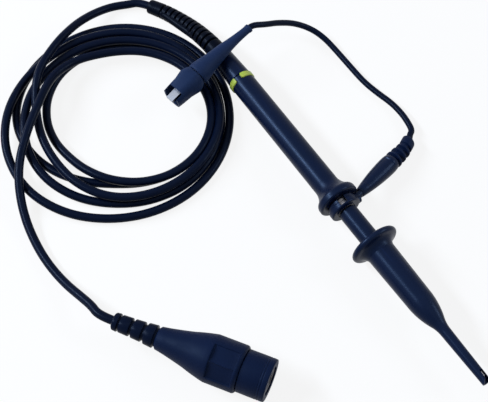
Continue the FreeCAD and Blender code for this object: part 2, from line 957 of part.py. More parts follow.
def round_tube(path, radius):
    """A solid tube of round section along a wire."""
    start = path.Edges[0].valueAt(path.Edges[0].FirstParameter)
    way = path.Edges[0].tangentAt(path.Edges[0].FirstParameter)
    section = Part.Wire(Part.Circle(start, way, radius).toShape())
    return path.makePipeShell([section], True, False)


def least_gap(path, radius, apart):
    """Smallest clear space between two stretches of a tube that lie apart along it."""
    spacing = radius
    points = path.discretize(Distance=spacing)
    skip = int(apart / spacing)
    least = math.inf
    for index, point in enumerate(points):
        for other in points[index + skip:]:
            least = min(least, point.distanceToPoint(other))
    return least - 2 * radius


def helix_points(turns, radius, length, step_angle=90):
    """Points and ways of a helix about X, from x = 0 to x = length."""
    points, ways = [], []
    steps = round(turns * 360 / step_angle)
    climb = length / (turns * 2 * math.pi)
    for index in range(steps + 1):
        angle = math.radians(step_angle * index)
        points.append(Vector(climb * angle, radius * math.cos(angle), radius * math.sin(angle)))
        way = Vector(climb, -radius * math.sin(angle), radius * math.cos(angle))
        ways.append(way.normalize())
    return points, ways


def make_hook_spring():
    """Compression spring between the stop collar and the front of the sleeve's cavity."""
    wire = float(size.spring_wire_radius)
    start = float(stop_place + size.stop_width) + wire + 0.05
    end = float(cavity_front_place) - wire - 0.05
    points, ways = helix_points(9, float(spring_radius), end - start)
    path, least = smooth_wire(points, ways)
    print(f"hook_spring: least bend {least:.2f}, gap {least_gap(path, wire, 8.0):.2f}")
    spring = round_tube(path, wire)
    place = Placement(Vector(start - float(middle), 0, float(axis_height)), Rotation())
    return shape_piece("hook_spring", spring, place)


# Ground collar, grip and lead


def lead_way():
    """Direction in which the lead leaves the collar."""
    swing = math.radians(float(size.lead_swing))
    droop = math.radians(float(size.lead_droop))
    return Vector(-math.sin(swing) * math.cos(droop), math.cos(swing) * math.cos(droop), -math.sin(droop))


def lead_root():
    """Point on the probe's axis that the lead points away from."""
    return Vector(float(lead_root_place - middle), 0, float(axis_height))


def aimed(way):
    """A turn that points a body's X axis along a way and keeps its Z axis up."""
    return Rotation(way, Vector(0, 0, 0), Vector(0, 0, 1), "XZY")


WINDOW_SIDE = 10.0


def make_ground_collar():
    """Moulded ring with a contact window on top and the boss for the grip."""
    body = new_piece("ground_collar")
    bore = sleeve_radius + size.fit_gap
    round_edge = size.collar_round
    band_back = collar_front - size.collar_band_width
    groove = bore + size.contact_spring_wall + size.fit_gap
    groove_half = size.contact_spring_width / 2 + size.fit_gap
    turned(body, [
        (collar_back, bore),
        (collar_back, collar_back_radius - round_edge),
        outward(round_edge * 1.02),
        (collar_back + round_edge, collar_back_radius),
        (band_back - 0.4, collar_back_radius),
        (band_back, collar_front_radius),
        (collar_front - round_edge, collar_front_radius),
        outward(round_edge * 1.02),
        (collar_front, collar_front_radius - round_edge),
        (collar_front, bore),
        (contact_middle + groove_half, bore),
        (contact_middle + groove_half, groove),
        (contact_middle - groove_half, groove),
        (contact_middle - groove_half, bore),
    ])
    droop = math.radians(float(size.lead_droop))
    out = Vector(0, math.cos(droop), -math.sin(droop))
    lobe_start = groove + 0.6
    start = out * float(lobe_start) + Vector(float((collar_back + collar_front) / 2), 0, 0)
    lobe = body.newObject("PartDesign::AdditiveCone", "lobe")
    lobe.setExpression("Radius1", size.lobe_radius.formula)
    lobe.setExpression("Radius2", as_size(size.boss_radius * 0.9).formula)
    lobe.setExpression("Height", as_size(size.lobe_reach - lobe_start).formula)
    lobe.Placement = Placement(start, Rotation(Vector(0, 0, 1), out))
    boss_start = lobe_start + 0.4
    start = lead_way() * float(boss_start) + Vector(float(lead_root_place), 0, 0)
    round_bar(body, "AdditiveCylinder", size.boss_radius, size.boss_end - boss_start, tuple(start), tuple(lead_way()))
    cut_box(body, 6.0, 30.0, 30.0, (collar_back - 3.0, 0, -15.0))
    cut_box(body, size.collar_window_length, size.collar_window_width, 6.0,
            (contact_middle, 0, float(bore) - 0.4), WINDOW_SIDE)
    return on_probe_axis(body)


def make_ground_contact():
    """Open spring band in the collar, with a bead line round it that shows in the window."""
    body = new_piece("ground_contact")
    inner = sleeve_radius + size.fit_gap
    outer = inner + size.contact_spring_wall
    half = size.contact_spring_width / 2
    waist = outer - 0.2
    turned(body, [
        (contact_middle - half, inner),
        (contact_middle - half, outer),
        (contact_middle - 0.45, outer),
        (contact_middle - 0.25, waist),
        (contact_middle + 0.25, waist),
        (contact_middle + 0.45, outer),
        (contact_middle + half, outer),
        (contact_middle + half, inner),
    ])
    cut_box(body, size.contact_spring_width + 1.0, 1.6, 6.0, (contact_middle, 0, 0.5), WINDOW_SIDE + 150.0)
    return on_probe_axis(body)


def on_lead_axis(body):
    body.Placement = Placement(lead_root(), aimed(lead_way()))
    return body


def make_lead_grip():
    """Tapered grip, widest at its outer end, with a shallow flat on top and below."""
    body = new_piece("lead_grip")
    start = size.boss_end + size.seat_gap
    shoulder = size.grip_end - 2.6
    turned(body, [
        (start, 0),
        (start, size.grip_root_radius),
        outward(120.0),
        (shoulder, size.grip_radius),
        outward(6.0),
        (size.grip_end, size.grip_radius - 0.75),
        (size.grip_end, 0),
    ])
    flat_length = 13.0
    for turn in (0.0, 180.0):
        cut_box(body, flat_length, 8.0, 3.0, (size.grip_end - 10.0, 0, size.grip_flat_height), turn)
    return on_lead_axis(body)


def make_lead_strain_relief():
    """Short ribbed relief with a heavy ring where the wire leaves."""
    body = new_piece("lead_strain_relief")
    start = size.grip_end + size.seat_gap
    end = size.grip_end + size.lead_relief_length
    ring_start = end - size.lead_end_length
    ribs = int(float(size.lead_rib_count))
    outline = [(start, 0), (start, size.lead_groove_radius)]
    for index in range(ribs):
        rib = start + 1.1 + size.lead_rib_pitch * index
        outline += [
            (rib, size.lead_groove_radius),
            (rib + 0.2, size.lead_rib_radius),
            (rib + size.lead_rib_width - 0.2, size.lead_rib_radius - 0.1),
            (rib + size.lead_rib_width, size.lead_groove_radius),
        ]
    outline += [
        (ring_start, size.lead_groove_radius),
        (ring_start + 0.3, size.lead_end_radius),
        (end - 0.9, size.lead_end_radius),
        outward(1.0),
        (end, size.lead_end_radius - 0.8),
        (end, 0),
    ]
    turned(body, outline)
    return on_lead_axis(body)


# Crocodile clip

CLIP_TAIL = Vector(-16.9, 14.5, 20.6)
CLIP_MOUTH = Vector(-8.0, -30.2, 13.6)


def clip_way():
    return (CLIP_MOUTH - CLIP_TAIL).normalize()


def moved(point):
    """A place that counts from the marker ring, in the part's own frame."""
    return Vector(point[0] - float(middle), point[1], point[2])


def on_clip_axis(body):
    body.Placement = Placement(moved(CLIP_TAIL), aimed(clip_way()))
    return body


def make_clip_boot():
    """Soft cone over the back of the clip."""
    body = new_piece("clip_boot")
    front = boot_front_place
    wall = size.boot_wall
    turned(body, [
        (0, 0),
        (0, size.boot_tail_radius),
        (size.boot_tail_length, size.boot_tail_radius),
        (size.boot_tail_length + 0.2, size.boot_tail_radius - 0.2),
        inward(70.0),
        (size.boot_waist_place, size.boot_waist_radius),
        (front, size.boot_front_radius),
        (front, size.boot_front_radius - wall),
        (size.boot_waist_place + 4.0, size.boot_waist_radius - wall + 0.4),
        (size.boot_waist_place + 2.0, 0),
    ])
    return on_clip_axis(body)


def rounded_square(half_width, half_height, corner):
    """Outline of a rectangle with round corners, about the sketch's origin."""
    across, up = half_width - corner, half_height - corner
    return [
        (half_width, -up), (half_width, up), inward(corner),
        (across, half_height), (-across, half_height), inward(corner),
        (-half_width, up), (-half_width, -up), inward(corner),
        (-across, -half_height), (across, -half_height), inward(corner),
    ]


def lofted(body, kind, stations):
    """A ruled skin through rounded squares of (place, half side, corner)."""
    sketches = [
        draw(sketch_on(body, "YZ_Plane", offset=place), rounded_square(half, half, corner))
        for place, half, corner in stations
    ]
    loft = body.newObject("PartDesign::" + kind, "loft")
    loft.Profile = (sketches[0], [""])
    loft.Sections = [(sketch, [""]) for sketch in sketches[1:]]
    loft.Ruled = True
    return loft


def make_clip_front_boot():
    """Squarer sleeve round the jaws, cut back on top at the mouth."""
    body = new_piece("clip_front_boot")
    back = boot_front_place + size.seat_gap
    mouth = size.clip_length + 0.0
    wall = size.front_boot_wall
    big, small = front_boot_back_half, size.front_boot_mouth_half
    bend_place = back + 3.4
    lofted(body, "AdditiveLoft", [
        (back, big - 0.25, big - 0.9),
        (bend_place, big, big - 1.2),
        (mouth, small, small - 2.6),
    ])
    lofted(body, "SubtractiveLoft", [
        (back + wall, big - wall - 0.15, big - wall - 1.0),
        (bend_place, big - wall, big - wall - 1.2),
        (mouth + 0.01, small - wall, small - wall - 2.2),
    ])
    round_bar(body, "SubtractiveCylinder", size.boot_front_radius - size.boot_wall, 3.0,
              (back - 1.0, 0, 0), (1, 0, 0))
    cut_box(body, size.mouth_cut_back + 1.0, small * 1.36, 4.0,
            (mouth - size.mouth_cut_back / 2 + 0.5, 0, small * 0.55))
    return on_clip_axis(body)


def jaw_outline(side, half_gap, tip):
    """Side view of a jaw above (side 1) or below (side -1) the line where the jaws meet."""
    pivot = pivot_place
    arm = pivot - 5.0
    outline = [
        (arm, side * 0.75),
        (arm, side * 1.5),
        (pivot - 0.5, side * 2.35),
        (pivot + 6.5, side * 2.3),
        (tip, side * 1.3),
        (tip, side * half_gap),
    ]
    tooth = tip - 0.6
    for _ in range(6):
        outline += [(tooth, side * half_gap), (tooth - 0.5 * size.tooth_pitch, side * (half_gap + size.tooth_depth))]
        tooth = tooth - size.tooth_pitch
    outline += [
        (tooth, side * half_gap),
        (pivot + 2.6, side * half_gap),
        (pivot + 1.2, -side * 1.25),
        (pivot - 1.2, -side * 1.25),
        (pivot - 2.4, side * 0.75),
    ]
    return outline


def make_jaw(label, side, half_width, tip):
    """Stamped jaw: a channel of sheet metal with teeth along its edges and an eye for the pin."""
    body = new_piece(label)
    pivot = pivot_place
    half_gap = 0.12
    sheet_wall = size.jaw_sheet
    prism(body, "Pad", draw(sketch_on(body), jaw_outline(side, half_gap, tip)), half_width * 2, side="Symmetric")
    channel = [
        (pivot - 6.0, side * (1.4 - sheet_wall)),
        (pivot - 0.5, side * (2.35 - sheet_wall)),
        (pivot + 6.5, side * (2.3 - sheet_wall)),
        (tip - sheet_wall, side * (1.35 - sheet_wall)),
        (tip - sheet_wall, -side * 3.0),
        (pivot - 6.0, -side * 3.0),
    ]
    prism(body, "Pocket", draw(sketch_on(body), channel), (half_width - sheet_wall) * 2, side="Symmetric")
    eye = size.pivot_radius + size.fit_gap
    prism(body, "Pocket", draw_circle(sketch_on(body), pivot, 0, eye), 8.0, side="Symmetric")
    return on_clip_axis(body)


def make_clip_pivot_pin():
    """Rivet through the eyes of both jaws."""
    body = new_piece("clip_pivot_pin")
    reach = size.upper_jaw_half_width + 0.35
    head = size.pivot_radius + 0.35
    inside = size.upper_jaw_half_width + 0.05
    turned(body, [
        (-reach, 0),
        (-reach, head),
        (-inside, head),
        (-inside, size.pivot_radius),
        (inside, size.pivot_radius),
        (inside, head),
        (reach, head),
        (reach, 0),
    ])
    spin = aimed(clip_way())
    offset = spin.multVec(Vector(float(pivot_place), 0, 0))
    body.Placement = Placement(moved(CLIP_TAIL) + offset, spin * Rotation(Vector(0, 0, 1), 90))
    return body


def make_clip_spring():
    """Coil on the rivet that presses the jaws together."""
    wire = float(size.clip_spring_wire)
    room = 2 * (float(size.lower_jaw_half_width) - float(size.jaw_sheet) - wire - 0.1)
    points, ways = helix_points(3, float(size.clip_spring_radius), room)
    path, least = smooth_wire(points, ways)
    print(f"clip_spring: least bend {least:.2f}, gap {least_gap(path, wire, 3.0):.2f}")
    spin = aimed(clip_way())
    offset = spin.multVec(Vector(float(pivot_place), -room / 2, 0))
    place = Placement(moved(CLIP_TAIL) + offset, spin * Rotation(Vector(0, 0, 1), 90))
    return shape_piece("clip_spring", round_tube(path, wire), place)


# Bayonet plug

PLUG_START = Vector(64.0, -103.2, 0)
PLUG_WAY_DEGREES = 33.95
PLUG_ROLL = 200.0
FLATS_TURN = 8.3


def plug_placement():
    start = moved((PLUG_START.x, PLUG_START.y, float(size.plug_radius)))
    turn = Rotation(Vector(0, 0, 1), PLUG_WAY_DEGREES) * Rotation(Vector(1, 0, 0), PLUG_ROLL)
    return Placement(start, turn)


def on_plug_axis(body):
    body.Placement = plug_placement()
    return body


def make_plug_strain_relief():
    """Ribbed relief that grows towards the plug, with a spigot into the housing."""
    body = new_piece("plug_strain_relief")
    ribs = int(float(size.plug_rib_count))
    pitch = size.plug_relief_length / ribs
    growth = (size.plug_relief_front_radius - size.plug_relief_back_radius) / size.plug_relief_length
    outline = [(0, 0), (0, size.plug_relief_back_radius)]
    for index in range(ribs):
        rib = pitch * index
        rib_end = rib + pitch - size.plug_groove_width
        start_radius = size.plug_relief_back_radius + growth * rib
        end_radius = size.plug_relief_back_radius + growth * rib_end
        if index:
            outline += [(rib, start_radius - size.plug_groove_depth), (rib, start_radius - 0.15)]
        outline += [
            (rib + 0.3, start_radius + 0.15),
            (rib_end - 0.3, end_radius + 0.15),
            (rib_end, end_radius - 0.15),
            (rib_end, end_radius - size.plug_groove_depth),
        ]
    outline += [
        (size.plug_relief_length - size.seat_gap, size.plug_relief_front_radius - size.plug_groove_depth),
        (size.plug_relief_length - size.seat_gap, size.plug_spigot_radius),
        (size.plug_relief_length + size.plug_spigot_length, size.plug_spigot_radius),
        (size.plug_relief_length + size.plug_spigot_length, 0),
    ]
    turned(body, outline)
    return on_plug_axis(body)


def make_plug_housing():
    """Flared moulding with flats round its grip; one flat has the trimmer's access hole."""
    body = new_piece("plug_housing")
    start = size.plug_relief_length
    spigot_hole = size.plug_spigot_radius + size.fit_gap
    neck_room = size.crimp_neck_radius + size.crimp_wall + 0.4
    turned(body, [
        (start, spigot_hole),
        (start, size.housing_back_radius),
        outward(size.housing_flare_bend),
        (grip_place, size.plug_radius),
        (shoulder_end - 0.8, size.plug_radius),
        outward(0.9),
        (shoulder_end, size.plug_radius - 0.75),
        (shoulder_end, cavity_wall_radius),
        (shell_back_place - 0.2, cavity_wall_radius),
        (shell_back_place - 0.2, neck_room),
        (start + size.plug_spigot_length + 3.0, neck_room),
        (start + size.plug_spigot_length + 3.0, spigot_hole),
    ])
    place = grip_place + 0.9 + flat_length / 2
    spread = float(size.flat_half_spread)
    for group in (FLATS_TURN, FLATS_TURN + 180.0):
        for side in (-spread, spread):
            cut_box(body, flat_length, 9.0, 3.0, (place, 0, flat_distance), group + side)
    round_bar(body, "SubtractiveCylinder", size.access_hole_radius, 12.0,
              (trimmer_place, 0, 3.0), (0, 0, 1))
    return on_plug_axis(body)


def make_coupling_sleeve():
    """Plastic shell moulded over the bayonet nut, with a lip round its end."""
    body = new_piece("coupling_sleeve")
    start = shoulder_end + size.coupling_gap
    lip = plug_end - size.coupling_lip_width
    inner = nut_radius + size.fit_gap
    outer = coupling_radius
    turned(body, [
        (start, inner),
        (start, outer - 0.5),
        (start + 0.5, outer - 0.1),
        (lip - 0.3, outer - 0.15),
        (lip, outer),
        (plug_end - 0.5, outer),
        outward(0.55),
        (plug_end, outer - 0.5),
        (plug_end, inner - 0.6),
        (plug_end - 0.7, inner - 0.6),
        (plug_end - 0.7, inner),
    ])
    return on_plug_axis(body)


def make_bayonet_nut():
    """Metal nut with two cam slots that wind a quarter turn round its bore."""
    body = new_piece("bayonet_nut")
    back = nut_back_place
    front = plug_end - 0.8
    neck_bore = neck_outer_radius + size.fit_gap
    turned(body, [
        (back, neck_bore),
        (back, nut_radius),
        (front, nut_radius),
        (front, nut_bore_radius + 0.3),
        (front - 0.3, nut_bore_radius),
        (back + size.nut_flange_length, nut_bore_radius),
        (back + size.nut_flange_length, neck_bore),
    ])
    slot_half = size.bayonet_slot_width / 2
    depth = size.bayonet_slot_depth
    entry_length = 3.2
    for turn in (0.0, 180.0):
        cut_box(body, entry_length + 1.0, size.bayonet_slot_width, depth + 1.0,
                (front - entry_length / 2 + 0.5, 0, nut_bore_radius - 1.0), turn)
        start = front - entry_length
        section = draw(sketch_on(body, "XZ_Plane"), [
            (start - slot_half, nut_bore_radius - 1.0),
            (start + slot_half, nut_bore_radius - 1.0),
            (start + slot_half, nut_bore_radius + depth),
            (start - slot_half, nut_bore_radius + depth),
        ])
        if turn:
            section.AttachmentOffset = Placement(Vector(), Rotation(Vector(1, 0, 0), 180.0))
        ramp = body.newObject("PartDesign::SubtractiveHelix", "ramp")
        ramp.Profile = (section, [""])
        ramp.ReferenceAxis = (section, ["H_Axis"])
        ramp.Mode = "pitch-height-angle"
        ramp.Pitch = 14.0
        ramp.Height = 3.6
        ramp.LeftHanded = True
        ramp.Reversed = True
    return on_plug_axis(body)


def make_plug_body():
    """Metal cup that screens the plug's board, with the neck that the nut turns on."""
    body = new_piece("plug_body")
    inner = shell_radius - size.shell_wall
    insulator_bore = size.plug_insulator_radius + size.fit_gap
    board_room_front = shell_front_place - 1.6
    turned(body, [
        (shell_back_place + 1.5, inner),
        (shell_back_place + 1.5, shell_radius),
        (shell_front_place, shell_radius),
        (shell_front_place, neck_outer_radius),
        (catch_back_place, neck_outer_radius),
        (catch_back_place, catch_radius),
        (catch_front_place, catch_radius),
        (catch_front_place, insulator_bore),
        (board_room_front, insulator_bore),
        (board_room_front, inner),
    ])
    round_bar(body, "SubtractiveCylinder", size.access_hole_radius, 12.0,
              (trimmer_place, 0, 3.0), (0, 0, 1))
    return on_plug_axis(body)


def make_plug_shell_end():
    """Rear lid of the metal cup, with the neck that the cable's screen is crimped to."""
    body = new_piece("plug_shell_end")
    back = shell_back_place
    step = back + 1.5 - size.seat_gap
    inner = shell_radius - size.shell_wall - size.fit_gap
    bore = size.core_radius + size.fit_gap
    turned(body, [
        (back - size.crimp_neck_length, bore),
        (back - size.crimp_neck_length, size.crimp_neck_radius),
        (back, size.crimp_neck_radius),
        (back, shell_radius),
        (step, shell_radius),
        (step, inner),
        (step + 1.0, inner),
        (step + 1.0, inner - 0.8),
        (step, inner - 0.8),
        (step, bore),
    ])
    return on_plug_axis(body)


def make_plug_ferrule():
    body = new_piece("plug_ferrule")
    inner = size.crimp_neck_radius + size.fit_gap
    start = shell_back_place - size.crimp_neck_length
    end = shell_back_place - 0.3
    turned(body, tube_outline(start, end, inner, inner + size.crimp_wall, chamfer=0.2))
    return on_plug_axis(body)


def make_compensation_board():
    """Round-ended board across the cup."""
    body = new_piece("compensation_board")
    back = shell_back_place + 2.9
    front = shell_front_place - 2.0
    half = size.compensation_half_width
    corner = 1.0
    sketch = draw(sketch_on(body, "XY_Plane"), [
        (back, -half + corner),
        (back, half - corner),
        outward(corner * 1.01),
        (back + corner, half),
        (front - corner, half),
        outward(corner * 1.01),
        (front, half - corner),
        (front, -half + corner),
        outward(corner * 1.01),
        (front - corner, -half),
        (back + corner, -half),
        outward(corner * 1.01),
    ])
    prism(body, "Pad", sketch, size.board_thickness, side="Symmetric")
    return on_plug_axis(body)


def make_trimmer_body():
    """Round base of the adjustable capacitor, standing on the board."""
    body = new_piece("trimmer_body")
    base = size.board_thickness / 2 + size.fit_gap
    well = size.trimmer_screw_radius + size.fit_gap
    sketch = sketch_on(body, "XY_Plane", offset=base)
    draw_circle(sketch, trimmer_place, 0, size.trimmer_radius)
    prism(body, "Pad", sketch, size.trimmer_height)
    hole = sketch_on(body, "XY_Plane", offset=base + size.trimmer_height)
    draw_circle(hole, trimmer_place, 0, well)
    prism(body, "Pocket", hole, 1.0)
    return on_plug_axis(body)


def make_trimmer_screw():
    """Slotted rotor that a small screwdriver turns through the housing."""
    body = new_piece("trimmer_screw")
    base = size.board_thickness / 2 + size.fit_gap + size.trimmer_height - 1.0 + size.fit_gap
    height = 1.6
    sketch = sketch_on(body, "XY_Plane", offset=base)
    draw_circle(sketch, trimmer_place, 0, size.trimmer_screw_radius)
    prism(body, "Pad", sketch, height)
    cut_box(body, 4.0, 0.45, 1.0, (trimmer_place, 0, base + height - 0.7))
    return on_plug_axis(body)


def make_plug_contact_sleeve():
    """Outer contact of the plug, slit into four springy fingers."""
    body = new_piece("plug_contact_sleeve")
    start = catch_front_place
    end = outer_contact_end
    outer = size.outer_contact_radius
    inner = outer - size.outer_contact_wall
    turned(body, [
        (start, inner),
        (start, outer),
        (end - 0.6, outer),
        outward(0.7),
        (end, outer - 0.4),
        (end, inner),
    ])
    slit_length = 7.0
    for turn in (45.0, 135.0):
        cut_box(body, slit_length + 1.0, 0.45, 12.0, (end - slit_length / 2 + 0.5, 0, -6.0), turn)
    return on_plug_axis(body)


def make_plug_insulator():
    body = new_piece("plug_insulator")
    bore = size.plug_pin_radius + size.fit_gap
    step = catch_front_place + size.seat_gap
    front_radius = size.outer_contact_radius - size.outer_contact_wall - size.fit_gap
    turned(body, [
        (shell_front_place - 1.6, bore),
        (shell_front_place - 1.6, size.plug_insulator_radius),
        (step, size.plug_insulator_radius),
        (step, front_radius),
        (plug_insulator_end, front_radius),
        (plug_insulator_end, front_radius - 1.0),
        (plug_insulator_end - 0.8, front_radius - 1.3),
        (plug_insulator_end - 0.8, bore),
    ])
    return on_plug_axis(body)


def make_plug_centre_pin():
    body = new_piece("plug_centre_pin")
    start = shell_front_place - 1.8
    end = plug_pin_end
    pin = size.plug_pin_radius
    turned(body, [
        (start, 0),
        (start, pin),
        (end - 0.9, pin),
        outward(1.6),
        (end, 0.2),
        (end, 0),
    ])
    return on_plug_axis(body)


def make_plug_gasket():
    """Rubber ring round the root of the outer contact."""
    body = new_piece("plug_gasket")
    start = catch_front_place + size.fit_gap
    inner = size.outer_contact_radius + size.fit_gap
    turned(body, tube_outline(start, start + size.gasket_thickness, inner, catch_radius, chamfer=0.15))
    return on_plug_axis(body)


def make_plug_wave_washer():
    """Coned spring washer that draws the nut back."""
    body = new_piece("plug_wave_washer")
    back = shell_front_place + size.fit_gap
    front = nut_back_place - size.fit_gap
    inner = neck_outer_radius + size.seat_gap
    outer = nut_radius - 0.5
    thickness = 0.25
    turned(body, [
        (back, outer),
        (back + thickness, outer),
        (front, inner),
        (front - thickness, inner),
    ])
    return on_plug_axis(body)


# Cable, its coil and the ground wire

RELIEF_ROUTE = [
    (-24.6, 0.0, 10.55),
    (-31.2, 0.3, 8.9),
    (-37.8, -0.3, 6.9),
    (-44.3, -1.4, 5.4),
    (-50.6, -2.7, 4.2),
    (-56.9, -4.6, 3.4),
    (-62.6, -7.8, 2.9),
]

LEAD_IN_ROUTE = [
    (-71.0, -15.6, 2.1),
    (-73.3, -22.0, 2.6),
    (-73.4, -29.0, 4.1),
    (-72.4, -36.0, 6.1),
    (-70.6, -42.6, 8.1),
    (-68.0, -49.0, 9.8),
    (-65.0, -55.3, 11.0),
    (-61.5, -61.7, 11.5),
    (-57.6, -67.4, 11.4),
    (-52.9, -71.9, 10.9),
    (-47.6, -75.3, 9.7),
]

TAIL_ROUTE = [
    (-54.2, -49.2, 6.9),
    (-53.0, -58.2, 8.3),
    (-49.7, -66.3, 10.0),
    (-44.3, -73.2, 11.5),
    (-38.7, -80.1, 12.1),
    (-33.3, -87.2, 11.5),
    (-26.9, -93.3, 10.4),
    (-20.0, -98.9, 9.1),
    (-12.7, -103.6, 7.2),
    (-4.9, -107.1, 4.7),
    (3.5, -109.5, 2.8),
    (12.3, -110.9, 2.0),
    (21.2, -111.6, 1.9),
    (30.1, -111.5, 2.4),
    (38.8, -110.7, 3.8),
    (47.0, -109.3, 6.0),
    (53.1, -108.3, 8.0),
]

GROUND_WIRE_ROUTE = [
    (-17.2, 25.6, 19.9),
    (-16.3, 31.2, 16.2),
    (-14.9, 36.8, 11.3),
    (-12.0, 41.9, 7.0),
    (-7.6, 45.7, 3.9),
    (-1.6, 47.9, 2.0),
    (5.2, 48.5, 1.4),
    (13.0, 48.4, 1.4),
    (20.9, 48.6, 1.4),
    (28.6, 49.6, 1.4),
    (35.9, 51.4, 1.5),
    (42.5, 53.3, 1.8),
    (48.8, 54.4, 2.1),
    (54.7, 53.9, 2.4),
    (58.5, 52.0, 2.6),
]

COIL_CENTRE = (-18.5, -52.9)
COIL_TURN_DEGREES = 56.06
COIL_ENTRY_GROWTH = -5.0
FLOOR = 1.85
UPPER = 6.1
COIL_LEFT = [(33.0, 7.2), (39.9, 6.6), (48.1, 5.2), (41.6, FLOOR), (29.0, FLOOR)]
COIL_NEAR = [(38.8, 6.4), (40.0, FLOOR), (47.5, FLOOR), (31.4, FLOOR), (30.4, UPPER)]
COIL_RIGHT = [(42.7, UPPER), (44.7, FLOOR), (49.6, FLOOR), (40.4, FLOOR), (38.4, UPPER)]
COIL_FAR = [(41.4, UPPER), (46.9, 6.5), (49.4, FLOOR), (37.0, FLOOR), (35.6, UPPER)]


def coil_stations():
    """Reach, height, point and way of the coil at every quarter of its five turns."""
    reaches = []
    for quarters in zip(COIL_LEFT, COIL_NEAR, COIL_RIGHT, COIL_FAR):
        reaches += quarters
    points, ways = [], []
    quarter = math.pi / 2
    turn = math.radians(COIL_TURN_DEGREES)
    last = len(reaches) - 1
    for index, (reach, height) in enumerate(reaches):
        angle = math.pi + quarter * index + turn
        before, after = max(index - 1, 0), min(index + 1, last)
        growth = (reaches[after][0] - reaches[before][0]) / ((after - before) * quarter)
        if index == 0:
            growth = COIL_ENTRY_GROWTH
        away = Vector(math.cos(angle), math.sin(angle), 0)
        along = Vector(-math.sin(angle), math.cos(angle), 0)
        points.append(moved((COIL_CENTRE[0] + away.x * reach, COIL_CENTRE[1] + away.y * reach, height)))
        way = away * growth + along * reach
        ways.append(way.normalize())
    return points, ways


def arc_route(points):
    """Straight runs joined by the largest tangent arcs, and the radii of the arcs."""
    share = 0.45
    edges, radii = [], []
    here = points[0]
    for index in range(1, len(points) - 1):
        corner = points[index]
        into = corner - points[index - 1]
        out = points[index + 1] - corner
        shorter = min(into.Length, out.Length)
        into.normalize()
        out.normalize()
        turn = into.getAngle(out)
        cut = share * shorter
        radii.append(cut / math.tan(turn / 2))
        start, end = corner - into * cut, corner + out * cut
        edges.append(Part.LineSegment(here, start).toShape())
        edges.append(arc_edge(start, into, end)[0])
        here = end
    edges.append(Part.LineSegment(here, points[-1]).toShape())
    return Part.Wire(edges), radii


def make_cord(label, points, radius):
    """A tube along a route, with its volume compared with its section times its length."""
    path, radii = arc_route(points)
    tube = round_tube(path, radius)
    share = tube.Volume / (math.pi * radius**2 * path.Length)
    print(f"{label}: length {path.Length:.1f}, least radius {min(radii):.1f}, volume share {share:.4f}")
    return shape_piece(label, tube)


def make_probe_strain_relief():
    """Tapered relief that bends down to the table, slotted crosswise so that it flexes."""
    start = Vector(float(cap_back) - 0.02, 0, float(axis_height))
    points = [moved(point) for point in [tuple(start)] + RELIEF_ROUTE]
    path, radii = arc_route(points)
    print(f"probe_strain_relief: length {path.Length:.1f}, least radius {min(radii):.1f}")
    sections = []
    edges = path.OrderedEdges
    ends = ((edges[0], edges[0].FirstParameter, size.relief_front_radius),
            (edges[-1], edges[-1].LastParameter, size.relief_back_radius))
    for edge, parameter, radius in ends:
        way = edge.tangentAt(parameter)
        sections.append(Part.Wire(Part.Circle(edge.valueAt(parameter), way, float(radius)).toShape()))
    relief = path.makePipeShell(sections, True, False)
    spigot_length = float(size.relief_spigot_length)
    spigot = Part.makeCylinder(float(size.relief_spigot_radius), spigot_length + 0.1,
                               points[0] - Vector(0.1, 0, 0), Vector(1, 0, 0))
    relief = relief.fuse(spigot)
    slots = []
    count = int((path.Length - 9.0) / (float(size.relief_slot_pitch) / 2))
    for index in range(count):
        along = 5.0 + index * float(size.relief_slot_pitch) / 2
        point, way = point_along(edges, along)
        slots += slot_pair(point, way, sideways=index % 2 == 0)
    relief = relief.cut(Part.makeCompound(slots))
    return shape_piece("probe_strain_relief", relief)


def point_along(edges, distance):
    """Point and way at a distance along a chain of edges."""
    for edge in edges:
        if distance <= edge.Length:
            break
        distance -= edge.Length
    parameter = edge.getParameterByLength(min(distance, edge.Length))
    return edge.valueAt(parameter), edge.tangentAt(parameter)


def slot_pair(point, way, sideways):
    """Two opposite slots cut in from the outside as far as the relief's core."""
    width = float(size.relief_slot_width) / 2 if sideways else float(size.relief_slot_width) / 2
    core = float(size.relief_core_radius)
    reach = 3.2
    half = 2.1
    turn = Rotation(way, Vector(0, 0, 0), Vector(0, 0, 1), "XZY")
    turn = turn * Rotation(Vector(1, 0, 0), 90.0 if sideways else 0.0)
    pair = []
    for side in (1, -1):
        low = core if side == 1 else -core - reach
        box = Part.makeBox(width, half * 2, reach, Vector(-width / 2, -half, low))
        box.Placement = Placement(point, turn)
        pair.append(box)
    return pair


def make_cable_lead_in():
    """Cable from the relief to the start of its coil."""
    coil_points, coil_ways = coil_stations()
    end = coil_points[0]
    before = end - coil_ways[0] * 6.2
    start = moved(RELIEF_ROUTE[-1])
    way = start - moved(RELIEF_ROUTE[-2])
    points = [start, start + way.normalize() * 5.5] + [moved(point) for point in LEAD_IN_ROUTE] + [before, end]
    return make_cord("cable_lead_in", points, float(size.cable_radius))


def make_cable_coil():
    """The loose coil, as one unbroken tube."""
    radius = float(size.cable_radius)
    points, ways = coil_stations()
    path, least = smooth_wire(points, ways)
    tube = round_tube(path, radius)
    gap = least_gap(path, radius, 60.0)
    print(f"cable_coil: length {path.Length:.1f}, least radius {least:.1f}, least gap {gap:.2f}")
    return shape_piece("cable_coil", tube)


def make_cable_tail():
    """Cable from the end of its coil to the plug."""
    coil_points, coil_ways = coil_stations()
    start = coil_points[-1]
    after = start + coil_ways[-1] * 8.0
    plug = plug_placement()
    end = plug.Base
    before = end - plug.Rotation.multVec(Vector(6.2, 0, 0))
    points = [start, after] + [moved(point) for point in TAIL_ROUTE] + [before, end]
    return make_cord("cable_tail", points, float(size.cable_radius))


